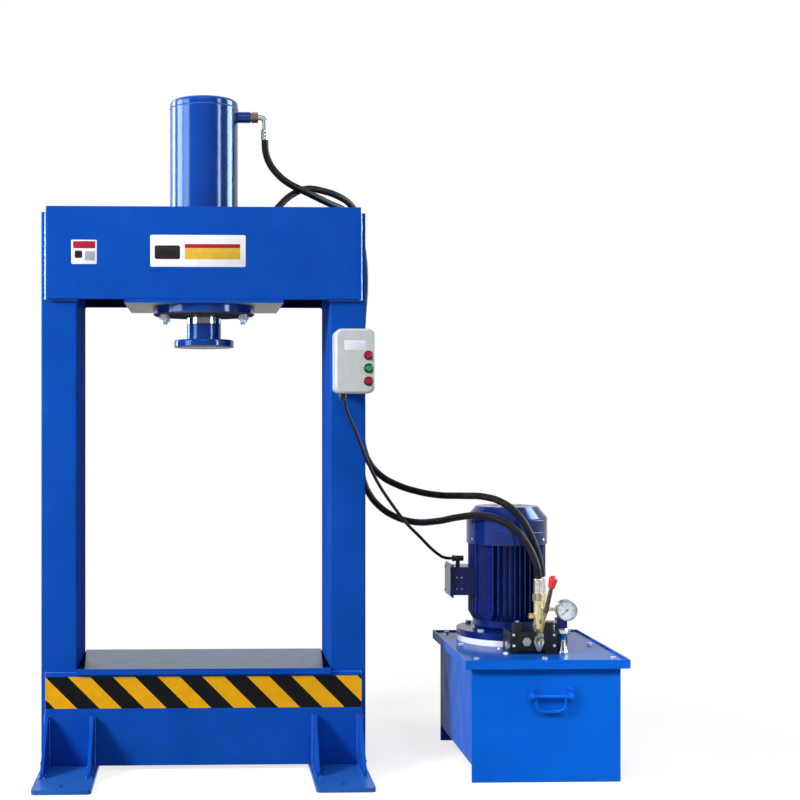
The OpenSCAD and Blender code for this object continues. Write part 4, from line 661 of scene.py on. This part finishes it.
# Screws: one head on every point, turned to the point's own facing.
screw_set, given = set_of_nodes("screw_set", (("Head", "NodeSocketObject"), ("Finish", "NodeSocketMaterial")))
facing = node(screw_set, "GeometryNodeInputNamedAttribute", {"Name": "facing"}, data_type="FLOAT_VECTOR")
turn = node(screw_set, "FunctionNodeAlignRotationToVector", {"Vector": facing.outputs[0]}, axis="Z")
pattern = node(screw_set, "GeometryNodeObjectInfo", {"Object": given.outputs["Head"]})
heads = node(screw_set, "GeometryNodeInstanceOnPoints", {"Points": given.outputs["Geometry"],
             "Instance": pattern.outputs["Geometry"], "Rotation": turn.outputs[0]})
close_nodes(screw_set, heads.outputs[0], given.outputs["Finish"])


DROP_PITCH = 1.1                            # from drop to drop, as a share of a drop's radius
SCREW_SIDES, SLEEVE_SIDES = 14, 32


def welds(name, lines, drop, coat, slot, body="frame"):
    """Weld runs along lines of points, with drops of some radius. Millimetres."""
    form = bmesh.new()
    for points in lines:
        corners = [form.verts.new(Vector(point) * MM) for point in points]
        for a, b in zip(corners, corners[1:]):
            form.edges.new((a, b))
    piece = object_of(name, mesh_of(form, name))
    values = {"Pitch": DROP_PITCH * drop * MM, "Drop": drop * MM, "Finish": finish_of[coat]}
    attach(run_nodes(piece, weld_run, values), body, slot)


def screws(name, places, across, coat, slot, body="frame"):
    """Pan-head screws, some width across, at places: each a point in millimetres and the way it faces."""
    r, h = across / 2 * MM, across / 3 * MM
    rim = [(0.0, 0.55 * h), (0.3 * r, 0.6 * h), (0.36 * r, h), (0.6 * r, 0.95 * h), (0.88 * r, 0.68 * h),
           (r, 0.3 * h), (r, -0.3 * h)]
    head = object_of(name + "_head", mesh_of(turned_form(rim, SCREW_SIDES), name + "_head"))
    points = bpy.data.meshes.new(name)
    points.from_pydata([Vector(place) * MM for place, way in places], [], [])
    points.attributes.new("facing", "FLOAT_VECTOR", "POINT").data.foreach_set(
        "vector", [c for place, way in places for c in way])
    piece = run_nodes(object_of(name, points), screw_set, {"Head": head, "Finish": finish_of[coat]})
    bpy.data.objects.remove(head)
    attach(piece, body, slot)


def circle_of(middle, radius, across, up, n):
    """Points of a closed circle round a middle, in the plane of two directions."""
    return [Vector(middle) + radius * (math.cos(a) * Vector(across) + math.sin(a) * Vector(up))
            for a in (2 * math.pi * i / n for i in range(n + 1))]


beam, base, foot, column, gussets = (solid_box(n) for n in (
    "beam_front_plate", "base_front_plate", "foot_plate_right", "column_right", "foot_gussets"))
plate_face = beam[1].y                      # where the front plates meet the columns
GUSSET, GUSSET_INSET = 10, 10               # thickness, and distance from the foot's edges
WELD_OFF, BEAM_WELD_OFF = 1, 2              # how far a bead's middle stands off its corner
RUN_SHORT, COLUMN_SHORT = 2, 4              # how far a run stops short of a plate's or a column's end
foot_line = foot[1].z + WELD_OFF
runs, beam_runs = [], []
for side in (-1, 1):
    for front in (-1, 1):
        face = front * (abs(plate_face) + WELD_OFF)
        for lines, plate, off, high in ((beam_runs, beam, BEAM_WELD_OFF, column[1].z - COLUMN_SHORT),
                                        (runs, base, WELD_OFF, base[1].z - RUN_SHORT)):
            end = side * (plate[1].x + off)
            lines.append([(end, face, plate[0].z + RUN_SHORT), (end, face, high)])
        for plate, rise in ((beam, beam[0].z - WELD_OFF), (base, base[1].z + WELD_OFF)):
            runs.append([(side * column[0].x, face, rise), (side * plate[1].x, face, rise)])
        for near in (foot[0].x + GUSSET_INSET, foot[1].x - GUSSET_INSET - GUSSET):
            for x in (near - WELD_OFF, near + GUSSET + WELD_OFF):
                out = front * (abs(base[0].y) + WELD_OFF)
                runs.append([(side * x, out, gussets[1].z - RUN_SHORT), (side * x, out, foot_line),
                             (side * x, front * gussets[1].y, foot_line)])
    outer = side * (column[1].x + WELD_OFF)
    runs.append([(outer, column[0].y + COLUMN_SHORT, foot_line),
                 (outer, column[1].y - COLUMN_SHORT, foot_line)])
welds("frame_welds", runs, 3.2, "weld_blue_painted_light", "frame_blue_paint")
welds("beam_welds", beam_runs, 4, "beam_weld_painted_glint", "frame_blue_paint")

cap = solid_box("cylinder_cap")
CAP_WELD_SINK, CAP_WELD_POINTS = 0.4, 120
welds("cap_weld", [circle_of((0, 0, cap[0].z), cap[1].x - CAP_WELD_SINK, X, Y, CAP_WELD_POINTS)], 1.8,
      "weld_blue_painted_light", "frame_blue_paint")


# ---------------------------------------------------------------- plates, label and gauge

def plate_on_front(name, left, right, low, high, face, thick, corner, coat, slot):
    """A thin plate with round corners on a face that looks to the front. Millimetres."""
    form = bmesh.new()
    ring = []
    middle_x, middle_z = (left + right) / 2, (low + high) / 2
    for x, z, start in ((right, high, 0), (left, high, 90), (left, low, 180), (right, low, 270)):
        side_x, side_z = math.copysign(1, x - middle_x), math.copysign(1, z - middle_z)
        for step in range(7):
            a = math.radians(start + 15 * step)
            ring.append(form.verts.new(Vector((x + corner * (math.cos(a) - side_x), face,
                                               z + corner * (math.sin(a) - side_z))) * MM))
    outline = form.faces.new(ring)
    grown = bmesh.ops.extrude_face_region(form, geom=[outline])
    front = [v for v in grown["geom"] if isinstance(v, bmesh.types.BMVert)]
    bmesh.ops.translate(form, verts=front, vec=(0, -thick * MM, 0))
    rim = [e for e in form.edges if all(v in front for v in e.verts)]
    bmesh.ops.bevel(form, geom=rim, offset=thick / 3 * MM, segments=2, profile=0.5, affect="EDGES")
    piece = object_of(name, mesh_of(form, name))
    piece.data.materials.append(finish_of[coat])
    return attach(piece, "frame", slot)


# Two enamelled plates on the beam. Their fields are plain colours. Each row gives a name, left, right, low,
# high, the corners' radius, finish and slot.
BEAM_PLATES = (
    ("small_beam_plate", -365, -295, 1394, 1460.5, 3, "white_plate", "box_plastic"),
    ("small_plate_red_field", -360, -299, 1437, 1457, 2, "red_field", "button_red"),
    ("small_plate_dark_field", -356, -335, 1410, 1431, 5, "dark_field", "bezel_black"),
    ("small_plate_grey_field", -328, -300, 1404, 1429, 2, "grey_field", "box_plastic"),
    ("wide_beam_plate", -148, 115, 1387, 1475, 4, "white_plate", "box_plastic"),
    ("wide_plate_dark_field", -136, -66, 1408, 1446, 5, "dark_field", "bezel_black"),
    ("wide_plate_red_field", -53, 100, 1439, 1450, 2, "red_field", "button_red"),
    ("wide_plate_yellow_field", -53, 100, 1408, 1439, 2, "yellow_field", "tape_yellow"))
PLATE_THICK, FIELD_THICK, LABEL_THICK = 0.8, 0.15, 0.4
beam_face = beam[0].y
for name, left, right, low, high, corner, coat, slot in BEAM_PLATES:
    if coat == "white_plate":
        plate_on_front(name, left, right, low, high, beam_face, PLATE_THICK, corner, coat, slot)
    else:
        plate_on_front(name, left, right, low, high, beam_face - PLATE_THICK, FIELD_THICK, corner, coat, slot)

box_face = solid_box("control_box_cover")[0].y
plate_on_front("control_box_label", 381, 440, 1155, 1181, box_face, LABEL_THICK, 2, "box_label",
               "box_plastic")

# The gauge's dial: a printed face with marks over three quarters of a turn, plain numbers, and a glass.
GAUGE_X, GAUGE_Z = 994, 443
DIAL_DEPTH, DIAL_RADIUS, DIAL_HOLE, DIAL_STEPS = 9, 26, 2.2, 6
DIAL_START, DIAL_SWEEP = 225, 270           # degrees
TIN, INK, PANE = 0.2, 0.1, 1.0              # thickness of the dial, its marks and the glass
TIN_OUT, INK_OUT, PANE_BACK = 0.2, 0.45, 1.2    # dial and marks before their seat, and glass behind the rim
LONG_MARK, SHORT_MARK = (20.5, 1.3), (22, 0.6)  # inner radius, and half the width in degrees
ROUND_STEPS, ARC_STEPS = 64, 48
MARKS_END, RING_WIDTH, NUMBER_RADIUS, NUMBER_SIZE = 24, 0.5, 16, 6.5
gauge_middle = Vector((GAUGE_X, solid_box("pressure_gauge")[0].y + DIAL_DEPTH, GAUGE_Z))


def flat_strip(form, inner, outer, start, stop, out, steps):
    """A flat strip between two radii and two angles in degrees, some way in front of the dial."""
    rows = []
    for a in (math.radians(start + (stop - start) * i / steps) for i in range(steps + 1)):
        rows.append([form.verts.new((gauge_middle + Vector((r * math.cos(a), -out, r * math.sin(a)))) * MM)
                     for r in (inner, outer)])
    for one, two in zip(rows, rows[1:]):
        form.faces.new((one[0], one[1], two[1], two[0]))


def thickened(name, form, thick, coat, slot):
    """A flat form given a thickness in millimetres and handed over."""
    piece = object_of(name, mesh_of(form, name))
    layer = piece.modifiers.new("thickness", "SOLIDIFY")
    layer.thickness = thick * MM
    piece.data.materials.append(finish_of[coat])
    attach(settle(piece), "frame", slot)


form = bmesh.new()
flat_strip(form, DIAL_HOLE, DIAL_RADIUS, 0, 360, TIN_OUT, ROUND_STEPS)
bmesh.ops.remove_doubles(form, verts=form.verts, dist=SAME_POINT)
thickened("gauge_dial", form, TIN, "dial_white", "box_plastic")

form = bmesh.new()
for step in range(10 * DIAL_STEPS + 1):
    angle = DIAL_START - DIAL_SWEEP * step / (10 * DIAL_STEPS)
    inner, half = LONG_MARK if step % 10 == 0 else SHORT_MARK
    flat_strip(form, inner, MARKS_END, angle - half, angle + half, INK_OUT, 1)
flat_strip(form, MARKS_END, MARKS_END + RING_WIDTH, DIAL_START - DIAL_SWEEP, DIAL_START, INK_OUT, ARC_STEPS)
for step in range(DIAL_STEPS + 1):
    turned = math.radians(DIAL_START - DIAL_SWEEP * step / DIAL_STEPS)
    number = bpy.data.curves.new("number", "FONT")
    number.body, number.size = str(10 * step), NUMBER_SIZE * MM
    number.align_x = number.align_y = "CENTER"
    text = object_of("number", number)
    bpy.context.view_layer.update()
    letters = bpy.data.meshes.new_from_object(text.evaluated_get(bpy.context.evaluated_depsgraph_get()))
    spot = gauge_middle + Vector((NUMBER_RADIUS * math.cos(turned), -INK_OUT,
                                  NUMBER_RADIUS * math.sin(turned)))
    letters.transform(Matrix.Translation(spot * MM) @ Matrix.Rotation(math.pi / 2, 4, "X"))
    form.from_mesh(letters)
    bpy.data.objects.remove(text)
thickened("gauge_dial_marks", form, INK, "dial_ink", "tape_black")

form = bmesh.new()
flat_strip(form, 0.01, DIAL_RADIUS, 0, 360, DIAL_DEPTH - PANE_BACK, ROUND_STEPS)
bmesh.ops.remove_doubles(form, verts=form.verts, dist=0.05 * MM)
thickened("gauge_glass", form, PANE, "gauge_glass", "box_plastic")


# ---------------------------------------------------------------- screws and swaged sleeves

hood, valve, term, term_lid = (solid_box(n) for n in (
    "motor_fan_cover", "valve_body", "terminal_box", "terminal_box_cover"))
HOOD_SCREWS, HOOD_SCREW_RISE, HOOD_SCREW_SINK = (81, 201, 321), 14, 1.8    # bearings, then millimetres
VALVE_SCREW_INSET, VALVE_SCREW_LEVELS = 9, (348, 377)
PLUG_AWAY, PLUG_FRONT, PLUG_BACK = 11, 8, 16
TERM_SCREW_INSET, TERM_SCREW_ACROSS, TERM_SCREW_LEVELS = 14, (727, 741), (478, 511)
hood_middle = (hood[0] + hood[1]) / 2
hood_radius = (hood[1].x - hood[0].x) / 2
hood_ring = Vector((hood_middle.x, hood_middle.y, hood[0].z + HOOD_SCREW_RISE))
around = [Vector((math.cos(a), math.sin(a), 0)) for a in map(math.radians, HOOD_SCREWS)]
screws("fan_cover_screws", [(hood_ring + (hood_radius - HOOD_SCREW_SINK) * way, way) for way in around],
       9, "zinc_steel", "zinc_steel")
screws("valve_face_screws",
       [((x, valve[0].y, z), (0, -1, 0))
        for x in (valve[0].x + VALVE_SCREW_INSET, valve[1].x - VALVE_SCREW_INSET)
        for z in VALVE_SCREW_LEVELS], 8, "zinc_painted_highlight", "zinc_steel")
lid_top = solid_box("motor_seat_ring")[0].z
screws("lid_plug_screws", [((valve[0].x - PLUG_AWAY, y, lid_top), (0, 0, 1))
                           for y in (valve[0].y + PLUG_FRONT, valve[1].y - PLUG_BACK)],
       15, "zinc_painted_highlight", "zinc_steel")
screws("terminal_cover_screws",
       [((term_lid[0].x, y, z), (-1, 0, 0))
        for y in (term_lid[0].y + TERM_SCREW_INSET, term_lid[1].y - TERM_SCREW_INSET)
        for z in (term_lid[0].z + TERM_SCREW_INSET, term_lid[1].z - TERM_SCREW_INSET)],
       8, "zinc_steel", "zinc_steel")
screws("terminal_box_screws", [((x, term[0].y, z), (0, -1, 0)) for x in TERM_SCREW_ACROSS
                               for z in TERM_SCREW_LEVELS], 5, "zinc_steel", "zinc_steel")


def swaged_sleeve(name, foot, way, length, radius, grooves, coat, slot):
    """A sleeve pressed on a hose end: rounded ends and a row of shallow grooves round the solid below it."""
    profile = [(radius - 0.4, 0), (radius + 0.3, 0.6)]
    for i in range(grooves):
        z = length * (i + 0.5) / grooves
        profile += [(radius + 0.7, z - 0.36 * length / grooves), (radius + 0.7, z + 0.14 * length / grooves),
                    (radius + 0.4, z + 0.22 * length / grooves), (radius + 0.4, z + 0.34 * length / grooves)]
    profile += [(radius + 0.5, length - 0.8), (radius - 0.4, length)]
    form = turned_form([(r * MM, z * MM) for r, z in profile], SLEEVE_SIDES, closed=True)
    bmesh.ops.transform(form, verts=form.verts, matrix=Matrix.Translation(Vector(foot) * MM)
                        @ Vector(way).to_track_quat("Z", "Y").to_matrix().to_4x4())
    piece = object_of(name, mesh_of(form, name))
    piece.data.materials.append(finish_of[coat])
    attach(piece, "frame", slot)


FERRULE_RADIUS, FERRULE_GROOVES = 11.5, 3
SLEEVES = (("upper_port_sleeve", UPPER_HOSE[0], 1, 30), ("lower_port_sleeve", LOWER_HOSE[0], -1, 30),
           ("front_hose_sleeve", LOWER_HOSE[-1], -1, 42), ("rear_hose_sleeve", UPPER_HOSE[-1], -1, 42))
for name, end, up, length in SLEEVES:
    swaged_sleeve(name, end, (0, 0, up), length, FERRULE_RADIUS, FERRULE_GROOVES, "nickel", "zinc_steel")
